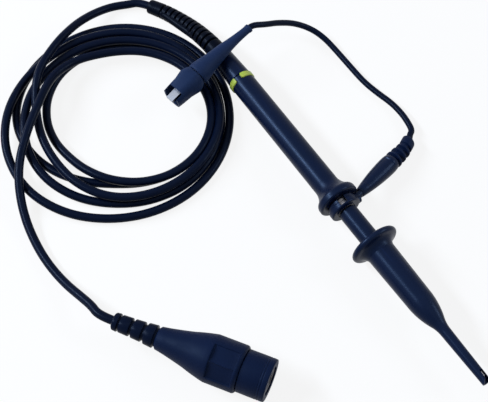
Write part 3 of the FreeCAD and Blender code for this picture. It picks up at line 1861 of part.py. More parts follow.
def make_ground_wire():
    """Thin wire from the clip to the relief on the grip."""
    clip = moved(CLIP_TAIL)
    lead_end = lead_root() + lead_way() * float(size.grip_end + size.lead_relief_length)
    points = [clip, clip - clip_way() * 6.2] + [moved(point) for point in GROUND_WIRE_ROUTE]
    points += [lead_end + lead_way() * 4.0, lead_end + lead_way() * float(size.play)]
    return make_cord("ground_wire", points, float(size.wire_radius))


def check_pieces():
    """Stops when any object failed or any piece isn't one good solid."""
    for item in document.Objects:
        if "Invalid" in item.State or "Error" in item.State:
            raise RuntimeError(f"{item.Label} of {item.TypeId} failed: {item.State}")
    for piece in pieces:
        shape = piece.Shape
        if shape.isNull() or not shape.isValid() or not shape.Solids:
            raise RuntimeError(f"{piece.Label} has no valid solid")
        if len(shape.Solids) != 1:
            print(f"{piece.Label} has {len(shape.Solids)} solids")


def main():
    make_barrel()
    make_rear_cap()
    make_marker_ring()
    make_shield_tube()
    make_circuit_board()
    make_input_resistor()
    make_input_capacitor()
    make_cable_ferrule()
    make_cable_core()
    make_nose_insulator()
    make_ground_sleeve()
    make_probe_tip_pin()
    make_hook_cap()
    make_hook_contact()
    make_hook_wire()
    make_hook_spring()
    make_hook_sleeve()
    make_ground_collar()
    make_ground_contact()
    make_lead_grip()
    make_lead_strain_relief()
    make_clip_boot()
    make_clip_front_boot()
    upper_tip = jaw_tip_place
    make_jaw("clip_upper_jaw", 1, size.upper_jaw_half_width, upper_tip)
    make_jaw("clip_lower_jaw", -1, size.lower_jaw_half_width, upper_tip - size.jaw_sheet)
    make_clip_pivot_pin()
    make_clip_spring()
    make_plug_strain_relief()
    make_plug_housing()
    make_coupling_sleeve()
    make_bayonet_nut()
    make_plug_body()
    make_plug_shell_end()
    make_plug_ferrule()
    make_compensation_board()
    make_trimmer_body()
    make_trimmer_screw()
    make_plug_contact_sleeve()
    make_plug_insulator()
    make_plug_centre_pin()
    make_plug_gasket()
    make_plug_wave_washer()
    make_probe_strain_relief()
    make_cable_lead_in()
    make_cable_coil()
    make_cable_tail()
    make_ground_wire()
    document.recompute()
    check_pieces()
    os.makedirs("parts", exist_ok=True)
    for piece in pieces:
        piece.Shape.exportStep(f"parts/{piece.Label}.step")
    print(f"{len(pieces)} pieces")


main()
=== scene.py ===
"""Oscilloscope probe with its slip-on hook, ground lead, looped cable and bayonet plug."""

import math

import bmesh
import bpy
from bpy.props import FloatProperty, FloatVectorProperty, IntProperty, PointerProperty
from mathutils import Matrix, Vector


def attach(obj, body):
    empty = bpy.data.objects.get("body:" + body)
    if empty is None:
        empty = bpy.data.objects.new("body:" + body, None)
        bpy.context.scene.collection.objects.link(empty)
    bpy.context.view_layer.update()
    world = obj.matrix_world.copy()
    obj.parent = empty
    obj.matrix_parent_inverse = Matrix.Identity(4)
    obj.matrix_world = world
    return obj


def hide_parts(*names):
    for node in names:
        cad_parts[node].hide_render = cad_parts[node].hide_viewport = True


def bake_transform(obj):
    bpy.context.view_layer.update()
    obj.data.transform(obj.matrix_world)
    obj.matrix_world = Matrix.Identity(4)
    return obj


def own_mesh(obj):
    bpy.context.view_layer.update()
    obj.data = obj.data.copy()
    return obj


bl_info = {
    "name": "Oscilloscope Probe",
    "version": (1, 0, 0),
    "blender": (4, 5, 0),
    "location": "3D View > Sidebar > Probe",
    "description": "Models an oscilloscope probe with its ground lead, cable and plug",
    "category": "Mesh",
}

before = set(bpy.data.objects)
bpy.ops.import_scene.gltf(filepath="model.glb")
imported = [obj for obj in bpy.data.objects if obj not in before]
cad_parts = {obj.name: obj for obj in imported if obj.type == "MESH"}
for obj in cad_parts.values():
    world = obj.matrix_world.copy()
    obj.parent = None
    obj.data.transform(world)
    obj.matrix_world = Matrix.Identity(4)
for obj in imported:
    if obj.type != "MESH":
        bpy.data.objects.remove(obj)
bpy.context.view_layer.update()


# Places and frames. Lengths are in millimetres where nothing else is said.

MM = 0.001
RING_TO_MIDDLE = 73.0  # from the marker ring to the middle of the shared frame
AXIS_HEIGHT = 10.55  # of the probe's axis over the table


def spot(x, y, z):
    """A point in metres from millimetres that count from the marker ring."""
    return Vector(((x - RING_TO_MIDDLE) * MM, y * MM, z * MM))


def axis_frame(start, way, roll=0.0):
    """Puts a piece drawn in millimetres about X at a start, along a way, turned about it."""
    along = Vector(way).normalized()
    up = (Vector((0, 0, 1)) - along * along.z).normalized()
    across = up.cross(along)
    turn = Matrix((along, across, up)).transposed().to_4x4()
    spin = Matrix.Rotation(math.radians(roll), 4, "X")
    return Matrix.Translation(start) @ turn @ spin @ Matrix.Scale(MM, 4)


LEAD_SWING = math.radians(15.6)
LEAD_DROOP = math.radians(8.84)
LEAD_WAY = Vector((
    -math.sin(LEAD_SWING) * math.cos(LEAD_DROOP),
    math.cos(LEAD_SWING) * math.cos(LEAD_DROOP),
    -math.sin(LEAD_DROOP),
))
LEAD_LENGTH = 47.5
LEAD_ROOT = spot(74.55, 0, AXIS_HEIGHT)
LEAD_END = LEAD_ROOT + LEAD_WAY * LEAD_LENGTH * MM
CLIP_TAIL = spot(-16.9, 14.5, 20.6)
CLIP_WAY = (spot(-8.0, -30.2, 13.6) - CLIP_TAIL).normalized()
PLUG_START = spot(64.0, -103.2, 9.3)
PLUG_TURN = math.radians(33.95)
PLUG_WAY = Vector((math.cos(PLUG_TURN), math.sin(PLUG_TURN), 0))
PLUG_ROLL = 28.3

LEAD_FRAME = axis_frame(LEAD_ROOT, LEAD_WAY)
CLIP_FRAME = axis_frame(CLIP_TAIL, CLIP_WAY)
PLUG_FRAME = axis_frame(PLUG_START, PLUG_WAY, PLUG_ROLL)

# How far the soft ends lean aside, in metres, to follow the ground wire
LEAD_END_ASIDE = Vector((-0.0014, -0.0002, 0))
CLIP_TAIL_ASIDE = Vector((0.00085, 0.0001, 0))


# Sizes and colours that a user would change


class ProbeSizes(bpy.types.PropertyGroup):
    cable_diameter: FloatProperty(
        name="Cable", description="Thickness of the coaxial cable",
        default=0.0037, min=0.001, unit="LENGTH")
    wire_diameter: FloatProperty(
        name="Ground wire", description="Thickness of the ground wire",
        default=0.0027, min=0.001, unit="LENGTH")
    relief_slots: IntProperty(
        name="Relief slots", description="Slots along the probe's bend relief",
        default=24, min=4, max=30)
    edge_round: FloatProperty(
        name="Edge rounding", description="Radius on the edges of the mouldings, in millimetres",
        default=0.16, min=0.02)


class ProbeColours(bpy.types.PropertyGroup):
    hard: FloatVectorProperty(
        name="Hard mouldings", description="Colour of the barrel, hook sleeve and plug", subtype="COLOR",
        default=(0.0021, 0.0055, 0.0215), min=0, max=1)
    soft: FloatVectorProperty(
        name="Soft mouldings", description="Colour of the bend reliefs and clip boots", subtype="COLOR",
        default=(0.0098, 0.0205, 0.059), min=0, max=1)
    cable: FloatVectorProperty(
        name="Cable", description="Colour of the cable and wire jackets", subtype="COLOR",
        default=(0.0014, 0.0038, 0.0140), min=0, max=1)
    ring: FloatVectorProperty(
        name="Marker ring", description="Colour of the channel marker", subtype="COLOR",
        default=(0.35, 0.43, 0.05), min=0, max=1)


def sizes():
    return bpy.context.scene.probe_sizes


def colours():
    return bpy.context.scene.probe_colours


# Modelling. A round piece is drawn about X by its outline, a list of corners (place, radius).

ON_AXIS = 0.003  # radius of an outline's end on the axis, which merging closes to a point


def deselect():
    """Leaves edit mode with nothing selected."""
    if bpy.context.active_object and bpy.context.active_object.mode != "OBJECT":
        bpy.ops.object.mode_set(mode="OBJECT")
    bpy.ops.object.select_all(action="DESELECT")


def only(piece):
    """Makes a piece the one that is selected and active."""
    deselect()
    piece.select_set(True)
    bpy.context.view_layer.objects.active = piece


def bow(start, end, radius, side=1, steps=6):
    """Points of the arc between two (place, radius) corners; side -1 bends it towards the axis."""
    half = math.dist(start, end) / 2
    normal = (-(end[1] - start[1]) / (2 * half), (end[0] - start[0]) / (2 * half))
    depth = side * math.sqrt(max(radius**2 - half**2, 0))
    middle = [(start[i] + end[i]) / 2 - normal[i] * depth for i in (0, 1)]
    first = math.atan2(start[1] - middle[1], start[0] - middle[0])
    last = math.atan2(end[1] - middle[1], end[0] - middle[0])
    turn = (last - first + math.pi) % (2 * math.pi) - math.pi
    angles = [first + turn * step / steps for step in range(1, steps)]
    return [(middle[0] + radius * math.cos(a), middle[1] + radius * math.sin(a)) for a in angles]


def outline_of(*items):
    """Corners of an outline, where a list [radius, side, steps] between two corners is an arc."""
    corners = []
    for index, item in enumerate(items):
        if isinstance(item, list):
            corners += bow(items[index - 1], items[index + 1], *item)
        else:
            corners.append(item)
    return corners


def turned(name, corners, segments=64):
    """A round piece about X, extruded and scaled ring by ring from a circle."""
    deselect()
    place, radius = corners[0]
    bpy.ops.mesh.primitive_circle_add(
        vertices=segments, radius=radius, location=(place, 0, 0), rotation=(0, math.pi / 2, 0))
    piece = bpy.context.active_object
    piece.name = piece.data.name = name
    bpy.ops.object.transform_apply(scale=False)
    bpy.ops.object.mode_set(mode="EDIT")
    bpy.ops.mesh.select_mode(type="VERT")
    bpy.ops.mesh.select_all(action="SELECT")
    for (before, was), (here, now) in zip(corners, corners[1:]):
        bpy.ops.mesh.extrude_region_move(TRANSFORM_OT_translate={"value": (here - before, 0, 0)})
        if abs(now / was - 1) > 1e-9:
            bpy.ops.transform.resize(value=(1, now / was, now / was), center_override=(here, 0, 0))
    bpy.ops.mesh.select_all(action="SELECT")
    bpy.ops.mesh.remove_doubles(threshold=0.01)
    bpy.ops.mesh.normals_make_consistent(inside=False)
    return piece


def select_where(piece, kind, wanted):
    """In edit mode, selects the vertices, edges or faces that are wanted."""
    bpy.ops.mesh.select_mode(type=kind)
    bpy.ops.mesh.select_all(action="DESELECT")
    form = bmesh.from_edit_mesh(piece.data)
    for part in {"VERT": form.verts, "EDGE": form.edges, "FACE": form.faces}[kind]:
        if wanted(part):
            part.select_set(True)
    if kind == "VERT":
        form.select_flush(True)
    bmesh.update_edit_mesh(piece.data)


def select_faces(piece, wanted):
    """In edit mode, selects the faces whose middle and normal are wanted."""
    select_where(piece, "FACE", lambda face: wanted(face.calc_center_median(), face.normal))


def turn_of(point):
    """Angle of a point about X, in degrees from straight up."""
    return math.degrees(math.atan2(point.y, point.z))


def lean(piece, placement, aside, still, end, growth=1.4):
    """In edit mode, carries a soft piece aside, the more the nearer to its end."""
    aside = placement.to_3x3().inverted() @ aside
    form = bmesh.from_edit_mesh(piece.data)
    for vertex in form.verts:
        vertex.co += aside * max(0.0, (vertex.co.x - still) / (end - still)) ** growth
    bmesh.update_edit_mesh(piece.data)


def settle(piece, placement, rounding=None, angle=32, segments=2):
    """Places a piece drawn in millimetres, rounds its edges and smooths it."""
    only(piece)
    piece.matrix_world = placement
    bpy.ops.object.transform_apply()
    rounding = sizes().edge_round if rounding is None else rounding
    if rounding:
        bpy.ops.object.modifier_add(type="BEVEL")
        bevel = piece.modifiers[-1]
        bevel.width = rounding * MM
        bevel.segments = segments
        bevel.limit_method = "ANGLE"
        bevel.angle_limit = math.radians(angle)
        bpy.ops.object.modifier_apply(modifier=bevel.name)
    bpy.ops.object.shade_smooth_by_angle(angle=math.radians(40))


def cut_with(piece, cutter):
    """Takes a cutter out of a piece and removes the cutter."""
    only(piece)
    bpy.ops.object.modifier_add(type="BOOLEAN")
    cut = piece.modifiers[-1]
    cut.operation = "DIFFERENCE"
    cut.object = cutter
    cut.solver = "EXACT"
    bpy.ops.object.modifier_apply(modifier=cut.name)
    only(cutter)
    bpy.ops.object.delete()
    only(piece)


def wear(piece, finish, body, *nodes, slot=None):
    """Gives a new piece its material and its body, if it rides on one, and hides the nodes that it stands
    for.
    """
    piece.data.materials.clear()
    piece.data.materials.append(finishes()[finish])
    if body:
        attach(piece, body)
    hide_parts(*nodes)


# Materials


class Net:
    """A node tree that is written from left to right."""

    def __init__(self, tree):
        self.tree = tree

    def add(self, kind, inputs=(), **settings):
        """A new node; an input is a plain value or a link from another node's output."""
        node = self.tree.nodes.new(kind)
        for name, value in settings.items():
            setattr(node, name, value)
        for name, value in dict(inputs).items():
            socket = node.inputs[name]
            if isinstance(value, bpy.types.NodeSocket):
                self.tree.links.new(value, socket)
            else:
                socket.default_value = value
        return node

    def maths(self, operation, *values):
        """What one maths node makes of its values."""
        return self.add("ShaderNodeMath", dict(enumerate(values)), operation=operation).outputs[0]

    def sight(self):
        """One where a surface is looked at, straight or by way of metal or glass."""
        seen = self.add("ShaderNodeLightPath").outputs
        mirrored = self.maths("MAXIMUM", seen["Is Glossy Ray"], seen["Is Transmission Ray"])
        return self.maths("MAXIMUM", seen["Is Camera Ray"], mirrored)

    def ramp(self, value, *stops):
        """A map from positions to grey levels."""
        node = self.add("ShaderNodeValToRGB", {"Fac": value})
        elements = node.color_ramp.elements
        for index, (position, level) in enumerate(stops):
            element = elements[index] if index < 2 else elements.new(position)
            element.position = position
            element.color = (level, level, level, 1)
        return node.outputs["Color"]

    def mix(self, factor, first, second):
        """A mix of two colours."""
        return self.add("ShaderNodeMix", {0: factor, 6: first, 7: second}, data_type="RGBA").outputs[2]

    def give(self, end, **values):
        """Links values to the named inputs of an end node."""
        for name, value in values.items():
            self.tree.links.new(value, end.inputs[name])


def new_group(name, inputs):
    """An empty group that gives a colour, a roughness and a height, with its net and its two end nodes."""
    group = bpy.data.node_groups.new(name, "ShaderNodeTree")
    for label, default in inputs.items():
        kind = "NodeSocketColor" if isinstance(default, tuple) else "NodeSocketFloat"
        group.interface.new_socket(label, in_out="INPUT", socket_type=kind).default_value = default
    for label, kind in (("Colour", "Color"), ("Roughness", "Float"), ("Height", "Float")):
        group.interface.new_socket(label, in_out="OUTPUT", socket_type="NodeSocket" + kind)
    net = Net(group)
    return group, net, net.add("NodeGroupInput"), net.add("NodeGroupOutput")


def moulded_surface():
    """Fine grain of a spark-eroded mould, faint flow marks, handling smears and hairline scratches."""
    group, net, given, result = new_group("Moulded surface", {
        "Colour": (0.01, 0.01, 0.02, 1), "Worn colour": (0.03, 0.035, 0.06, 1), "Roughness": 0.4,
        "Grain scale": 2600.0, "Grain depth": 0.5, "Smears": 0.1, "Scratches": 0.3})
    place = net.add("ShaderNodeTexCoord").outputs["Object"]
    grain = net.add("ShaderNodeTexNoise", {
        "Vector": place, "Scale": given.outputs["Grain scale"], "Detail": 2.0, "Roughness": 0.6})
    flow = net.add("ShaderNodeTexNoise", {"Vector": place, "Scale": 46.0, "Detail": 3.0, "Distortion": 0.8})
    smear = net.add("ShaderNodeTexNoise", {"Vector": place, "Scale": 170.0, "Detail": 4.0, "Distortion": 1.6})
    smeared = net.ramp(smear.outputs["Fac"], (0.48, 0.0), (0.66, 1.0))
    skewed = net.add("ShaderNodeMapping", {
        "Vector": place, "Rotation": (0.4, 0.9, 0.6), "Scale": (35.0, 900.0, 900.0)})
    hair = net.add("ShaderNodeTexNoise", {"Vector": skewed.outputs["Vector"], "Scale": 1.0, "Detail": 1.0})
    hairs = net.ramp(hair.outputs["Fac"], (0.69, 0.0), (0.72, 1.0))
    scratched = net.maths("MULTIPLY", hairs, given.outputs["Scratches"])
    shade = net.add("ShaderNodeHueSaturation", {
        "Color": given.outputs["Colour"], "Value": net.maths("MULTIPLY_ADD", flow.outputs["Fac"], 0.5, 0.76)})
    worn = net.maths("MULTIPLY", scratched, 0.5)
    colour = net.mix(worn, shade.outputs["Color"], given.outputs["Worn colour"])
    rough = net.maths("MULTIPLY_ADD", smeared, given.outputs["Smears"], given.outputs["Roughness"])
    rough = net.maths("ADD", rough, net.maths("MULTIPLY", scratched, 0.12))
    height = net.maths("MULTIPLY", grain.outputs["Fac"], given.outputs["Grain depth"])
    height = net.maths("SUBTRACT", height, net.maths("MULTIPLY", scratched, 0.4))
    net.give(result, Colour=colour, Roughness=rough, Height=height)
    return group


def plated_surface():
    """Fine drawing lines, dulled patches and small pits of a plated part."""
    group, net, given, result = new_group("Plated surface", {
        "Colour": (0.7, 0.7, 0.7, 1), "Dull colour": (0.3, 0.28, 0.25, 1), "Roughness": 0.2,
        "Line scale": 1800.0, "Dulling": 0.5})
    place = net.add("ShaderNodeTexCoord").outputs["Object"]
    drawn = net.add("ShaderNodeMapping", {"Vector": place, "Scale": (0.08, 1.0, 1.0)})
    lines = net.add("ShaderNodeTexNoise", {
        "Vector": drawn.outputs["Vector"], "Scale": given.outputs["Line scale"], "Detail": 2.0})
    patches = net.add("ShaderNodeTexNoise", {
        "Vector": place, "Scale": 420.0, "Detail": 5.0, "Distortion": 0.6})
    spread = net.ramp(patches.outputs["Fac"], (0.45, 0.0), (0.75, 1.0))
    dull = net.maths("MULTIPLY", spread, given.outputs["Dulling"])
    pits = net.add("ShaderNodeTexVoronoi", {"Vector": place, "Scale": 1500.0})
    pitted = net.ramp(pits.outputs["Distance"], (0.05, 1.0), (0.12, 0.0))
    colour = net.mix(dull, given.outputs["Colour"], given.outputs["Dull colour"])
    rough = net.maths("MULTIPLY_ADD", dull, 0.3, given.outputs["Roughness"])
    rough = net.maths("ADD", rough, net.maths("MULTIPLY", lines.outputs["Fac"], 0.08))
    ridges = net.maths("MULTIPLY", lines.outputs["Fac"], 0.4)
    height = net.maths("SUBTRACT", ridges, net.maths("MULTIPLY", pitted, 0.3))
    net.give(result, Colour=colour, Roughness=rough, Height=height)
    return group


def surfaced(name, group, inputs, bump=0.1, distance=0.00002, **shader):
    """A material whose colour, roughness and bump come from a group; shader sockets are plain numbers."""
    material = bpy.data.materials.new(name)
    material.use_nodes = True
    net = Net(material.node_tree)
    principled = material.node_tree.nodes["Principled BSDF"]
    for label, value in shader.items():
        principled.inputs[label.replace("_", " ").title().replace("Ior", "IOR")].default_value = value
    part = net.add("ShaderNodeGroup", node_tree=group)
    for label, value in inputs.items():
        part.inputs[label].default_value = value
    raised = net.add("ShaderNodeBump", {
        "Height": part.outputs["Height"], "Strength": bump, "Distance": distance})
    net.tree.links.new(part.outputs["Colour"], principled.inputs["Base Color"])
    net.give(principled, Roughness=part.outputs["Roughness"], Normal=raised.outputs["Normal"])
    return material


def lifted(colour, by=1.0):
    """A colour made brighter or darker, with full cover."""
    return (*[min(1.0, level * by) for level in colour[:3]], 1.0)


def finishes():
    """The materials by name, made once."""
    made = {item.name: item for item in bpy.data.materials if item.get("made_here")}
    return made or make_finishes()


def make_finishes():
    """Makes the materials in the place of those that come with the frame."""
    for old in list(bpy.data.materials):
        old.name = "from_frame_" + old.name
    hue = colours()
    plastic, metal = moulded_surface(), plated_surface()
    made = [
        surfaced("black_moulding", plastic, {
            "Colour": lifted(hue.hard), "Worn colour": lifted(hue.hard, 4.0), "Roughness": 0.31,
            "Grain scale": 3200.0, "Grain depth": 0.35, "Smears": 0.07, "Scratches": 0.25},
            bump=0.12, specular_ior_level=0.14, specular_tint=(0.42, 0.62, 1, 1)),
        surfaced("dull_moulding", plastic, {
            "Colour": lifted(hue.hard, 1.15), "Worn colour": lifted(hue.hard, 2.5), "Roughness": 0.5,
            "Grain scale": 2800.0, "Grain depth": 0.6, "Smears": 0.08, "Scratches": 0.1},
            bump=0.15, specular_ior_level=0.09, specular_tint=(0.5, 0.7, 1, 1)),
        surfaced("soft_moulding", plastic, {
            "Colour": lifted(hue.soft), "Worn colour": lifted(hue.soft, 2.5), "Roughness": 0.52,
            "Grain scale": 2400.0, "Grain depth": 0.8, "Smears": 0.1, "Scratches": 0.08},
            bump=0.2, specular_ior_level=0.1, specular_tint=(0.6, 0.75, 1, 1)),
        surfaced("relief_moulding", plastic, {
            "Colour": lifted(hue.soft, 0.11), "Worn colour": lifted(hue.soft, 0.8), "Roughness": 0.34,
            "Grain scale": 2400.0, "Grain depth": 0.8, "Smears": 0.1, "Scratches": 0.08},
            bump=0.2, specular_ior_level=0.04, specular_tint=(0.6, 0.75, 1, 1)),
        surfaced("cable_jacket", plastic, {
            "Colour": lifted(hue.cable), "Worn colour": lifted(hue.cable, 3.0), "Roughness": 0.28,
            "Grain scale": 1500.0, "Grain depth": 0.3, "Smears": 0.14, "Scratches": 0.15},
            bump=0.1, specular_ior_level=0.06, specular_tint=(0.6, 0.75, 1, 1)),
        surfaced("yellow_plastic", plastic, {
            "Colour": lifted(hue.ring), "Worn colour": lifted(hue.ring, 0.6), "Roughness": 0.3,
            "Grain scale": 2500.0, "Grain depth": 0.3, "Smears": 0.1, "Scratches": 0.4},
            bump=0.1, subsurface_weight=0.08, subsurface_scale=0.0005),
        surfaced("white_insulation", plastic, {
            "Colour": (0.8, 0.8, 0.76, 1), "Worn colour": (0.6, 0.58, 0.5, 1), "Roughness": 0.42,
            "Grain scale": 2500.0, "Grain depth": 0.4, "Smears": 0.1, "Scratches": 0.5},
            bump=0.1, subsurface_weight=0.15, subsurface_scale=0.0005),
        surfaced("circuit_board", plastic, {
            "Colour": (0.02, 0.17, 0.06, 1), "Worn colour": (0.6, 0.45, 0.2, 1), "Roughness": 0.35,
            "Grain scale": 1800.0, "Grain depth": 0.8, "Smears": 0.05, "Scratches": 0.9},
            bump=0.2),
        surfaced("component_ceramic", plastic, {
            "Colour": (0.42, 0.28, 0.16, 1), "Worn colour": (0.62, 0.5, 0.36, 1), "Roughness": 0.5,
            "Grain scale": 3000.0, "Grain depth": 1.0, "Smears": 0.1, "Scratches": 0.6},
            bump=0.2),
        surfaced("plated_steel", metal, {
            "Colour": (0.36, 0.39, 0.46, 1), "Dull colour": (0.14, 0.15, 0.18, 1), "Roughness": 0.22,
            "Line scale": 1500.0, "Dulling": 0.8}, bump=0.15, metallic=1.0),
        # Steel painted much darker than bare steel, as painted shade: the hook wire sits drawn in at the tip
        # and the contact sits behind the collar's window.
        surfaced("spring_wire", metal, {
            "Colour": (0.2, 0.2, 0.22, 1), "Dull colour": (0.1, 0.1, 0.1, 1), "Roughness": 0.3,
            "Line scale": 1500.0, "Dulling": 0.5}, bump=0.15, metallic=1.0),
        surfaced("nickel", metal, {
            "Colour": (0.72, 0.7, 0.66, 1), "Dull colour": (0.4, 0.37, 0.32, 1), "Roughness": 0.18,
            "Line scale": 2200.0, "Dulling": 0.35}, bump=0.1, metallic=1.0),
        # Nickel painted nearly black, as painted shade: the ground sleeve at the collar's front and the nut
        # glimpsed in the gap behind the plug's sleeve.
        surfaced("tarnished_nickel", metal, {
            "Colour": (0.1, 0.1, 0.11, 1), "Dull colour": (0.05, 0.045, 0.04, 1), "Roughness": 0.35,
            "Line scale": 2200.0, "Dulling": 0.6}, bump=0.1, metallic=1.0),
        surfaced("gold_plated_brass", metal, {
            "Colour": (0.85, 0.62, 0.25, 1), "Dull colour": (0.5, 0.34, 0.14, 1), "Roughness": 0.2,
            "Line scale": 2400.0, "Dulling": 0.3}, bump=0.1, metallic=1.0),
    ]
    for material in made:
        material["made_here"] = True
    return {material.name: material for material in made}


# Cords


CABLE_IN = [
    (-69.7, -16.1, 2.1), (-72.0, -22.2, 2.6), (-72.2, -28.9, 4.1), (-71.0, -35.7, 6.1),
    (-69.0, -42.1, 8.1), (-66.3, -48.2, 9.8), (-63.3, -54.4, 11.0), (-59.8, -60.7, 11.5),
    (-56.4, -66.4, 11.4), (-52.4, -71.3, 10.9), (-47.6, -75.3, 9.7),
]
CABLE_OUT = [
    (-52.0, -48.9, 6.9), (-51.5, -57.8, 8.3), (-48.9, -65.8, 10.0), (-43.7, -72.7, 11.5),
    (-37.7, -79.3, 12.1), (-32.1, -86.1, 11.5), (-26.2, -92.5, 10.4), (-19.7, -98.5, 9.1),
    (-12.5, -103.2, 7.2), (-4.8, -106.7, 4.7), (3.6, -109.2, 2.8), (12.3, -110.6, 2.0),
    (21.2, -111.2, 1.9), (30.1, -110.8, 2.4), (38.6, -109.7, 3.8), (46.7, -108.0, 6.0),
    (53.4, -106.7, 8.0),
]
RELIEF = [
    (-18.6, 0.0, AXIS_HEIGHT), (-22.8, 0.0, AXIS_HEIGHT), (-28.4, -0.3, 9.7), (-34.3, -0.5, 8.1),
    (-40.4, -1.1, 6.4), (-46.6, -2.3, 5.0), (-52.8, -4.0, 4.0), (-58.3, -6.3, 3.4), (-62.6, -8.8, 3.2),
]
GROUND_WIRE = [
    (57.2, 49.4, 2.9), (52.5, 50.6, 2.7), (46.9, 51.4, 2.2), (40.2, 51.1, 1.9), (32.5, 49.4, 1.5),
    (24.6, 48.1, 1.4), (15.0, 48.0, 1.4), (5.1, 47.9, 1.6), (-3.8, 47.0, 2.9), (-9.8, 43.8, 5.4),
    (-14.0, 37.6, 9.4), (-15.2, 29.4, 14.4), (-15.1, 22.2, 18.4),
]

# The coil runs four turns and three quarters from its start: how far out from its middle at every
# eighth of a turn, and how high at every quarter
COIL_MIDDLE = (-18.5, -52.9)
COIL_START = math.pi + math.radians(56.06)
COIL_START_SLOPE = -4.0
COIL_REACH = [
    33.3, 33.2, 40.1, 43.1, 44.8, 42.2, 39.7, 38.5,
    38.7, 40.8, 40.6, 44.1, 45.1, 45.4, 43.9, 43.2,
    46.8, 49.7, 47.8, 48.2, 48.8, 49.8, 50.1, 47.3,
    43.4, 35.4, 31.0, 36.4, 41.5, 41.3, 39.4, 36.0,
    29.9, 26.8, 31.7, 38.9, 41.2, 37.6, 33.6,
]
COIL_HEIGHT = [
    7.2, 6.4, 6.1, 6.1, 6.6, 1.85, 1.85, 6.5, 5.2, 1.85,
    1.85, 1.85, 1.85, 1.85, 1.85, 1.85, 1.85, 6.1, 6.1, 6.1,
]


def coil_points():
    """The coil's turns, four points to a quarter, each a little outside the turn that it draws."""
    last = len(COIL_REACH) - 1
    points = []
    for index in range(last * 2 + 1):
        eighth, share = min(index // 2, last - 1), index / 2
        share -= eighth
        reach = []
        for k in (eighth, eighth + 1):
            before, after = max(k - 1, 0), min(k + 1, last)
            slope = (COIL_REACH[after] - COIL_REACH[before]) / (after - before)
            reach += [COIL_REACH[k], COIL_START_SLOPE if k == 0 else slope]
        square, cube = share**2, share**3
        away = (reach[0] * (2 * cube - 3 * square + 1) + reach[1] * (cube - 2 * square + share)
                + reach[2] * (3 * square - 2 * cube) + reach[3] * (cube - square))
        quarter = min(index // 4, len(COIL_HEIGHT) - 2)
        rise = index / 4 - quarter
        low, high = COIL_HEIGHT[quarter:quarter + 2]
        height = low + (high - low) * (3 * rise**2 - 2 * rise**3)
        angle = COIL_START + math.pi / 4 * (eighth + share)
        away /= math.cos(math.pi / 16)
        x, y = COIL_MIDDLE
        points.append((x + away * math.cos(angle), y + away * math.sin(angle), height))
    return points


def spots(points):
    return [spot(*point) for point in points]


def route(name, points, diameter, resolution=8, roundness=7):
    """A smooth curve that is drawn by its control points."""
    curve = bpy.data.curves.new(name, "CURVE")
    curve.dimensions = "3D"
    spline = curve.splines.new("NURBS")
    spline.points.add(len(points) - 1)
    for made, point in zip(spline.points, points):
        made.co = (*point, 1.0)
    spline.order_u = 3
    spline.use_endpoint_u = True
    spline.resolution_u = resolution
    curve.resolution_u = curve.render_resolution_u = resolution
    curve.bevel_depth = diameter / 2
    curve.bevel_resolution = roundness
    curve.use_fill_caps = True
    cord = bpy.data.objects.new(name, curve)
    bpy.context.scene.collection.objects.link(cord)
    return cord


def route_mesh(name, points, *size):
    """A route as a mesh, for a cord or a wire that changes its form."""
    drawn = route(name + "_line", points, *size)
    mesh = bpy.data.meshes.new_from_object(drawn)
    bpy.data.curves.remove(drawn.data)
    piece = bpy.data.objects.new(name, mesh)
    bpy.context.scene.collection.objects.link(piece)
    only(piece)
    bpy.ops.object.shade_smooth_by_angle(angle=math.radians(60))
    return piece


def read_line(points):
    """The points of a smooth curve's own line."""
    bare = route("line", points, 0.0)
    mesh = bpy.data.meshes.new_from_object(bare)
    line = [vertex.co.copy() for vertex in mesh.vertices]
    bpy.data.meshes.remove(mesh)
    bpy.data.curves.remove(bare.data)
    return line


def length_of(line):
    """The length of a line of points."""
    return sum((b - a).length for a, b in zip(line, line[1:]))


def cable_points():
    """The cable's control points, straight out of the bend relief and straight into the plug."""
    end = spot(*RELIEF[-1])
    way = (end - spot(*RELIEF[-2])).normalized()
    return ([end, end + way * 5.5 * MM] + spots(CABLE_IN) + spots(coil_points()) + spots(CABLE_OUT)
            + [PLUG_START - PLUG_WAY * 6.2 * MM, PLUG_START])


def wire_points():
    """The ground wire's control points, from the end of the lead's relief to the clip's tail."""
    tail = CLIP_TAIL + CLIP_TAIL_ASIDE
    return ([LEAD_END + LEAD_END_ASIDE + LEAD_WAY * 0.3 * MM,
             LEAD_END + LEAD_END_ASIDE * 2.1 + LEAD_WAY * 2.4 * MM]
            + spots(GROUND_WIRE) + [tail - CLIP_WAY * 1.8 * MM, tail])


# Operators


# The camera and the lamps, in metres and watts
CAMERA_PLACE = Vector((0.16857, -0.16166, 0.42925))
CAMERA_AIM = Vector((-0.02883, -0.02876, -0.00016))
CAMERA_LENS = 86.76  # in millimetres, like the sensor
CAMERA_SENSOR = 36
FLOOR_DROP = 0.00005
LAMPS = {
    "key": {"place": (-0.709, -0.728, 0.766), "aim": (-0.03, 0, 0.01), "size": (0.9, 0.17),
            "power": 22.0, "colour": (0.78, 0.87, 1.0)},
    "side": {"place": (0.45, 0.85, 0.66), "aim": (-0.03, 0, 0.01), "size": (0.6, 0.35),
             "power": 5.0, "colour": (0.8, 0.88, 1.0)},
    "top": {"place": (0.2, 0.1, 1.5), "aim": (-0.03, -0.03, 0), "size": (1.4, 1.4),
            "power": 3.0, "colour": (1.0, 1.0, 1.0)},
}


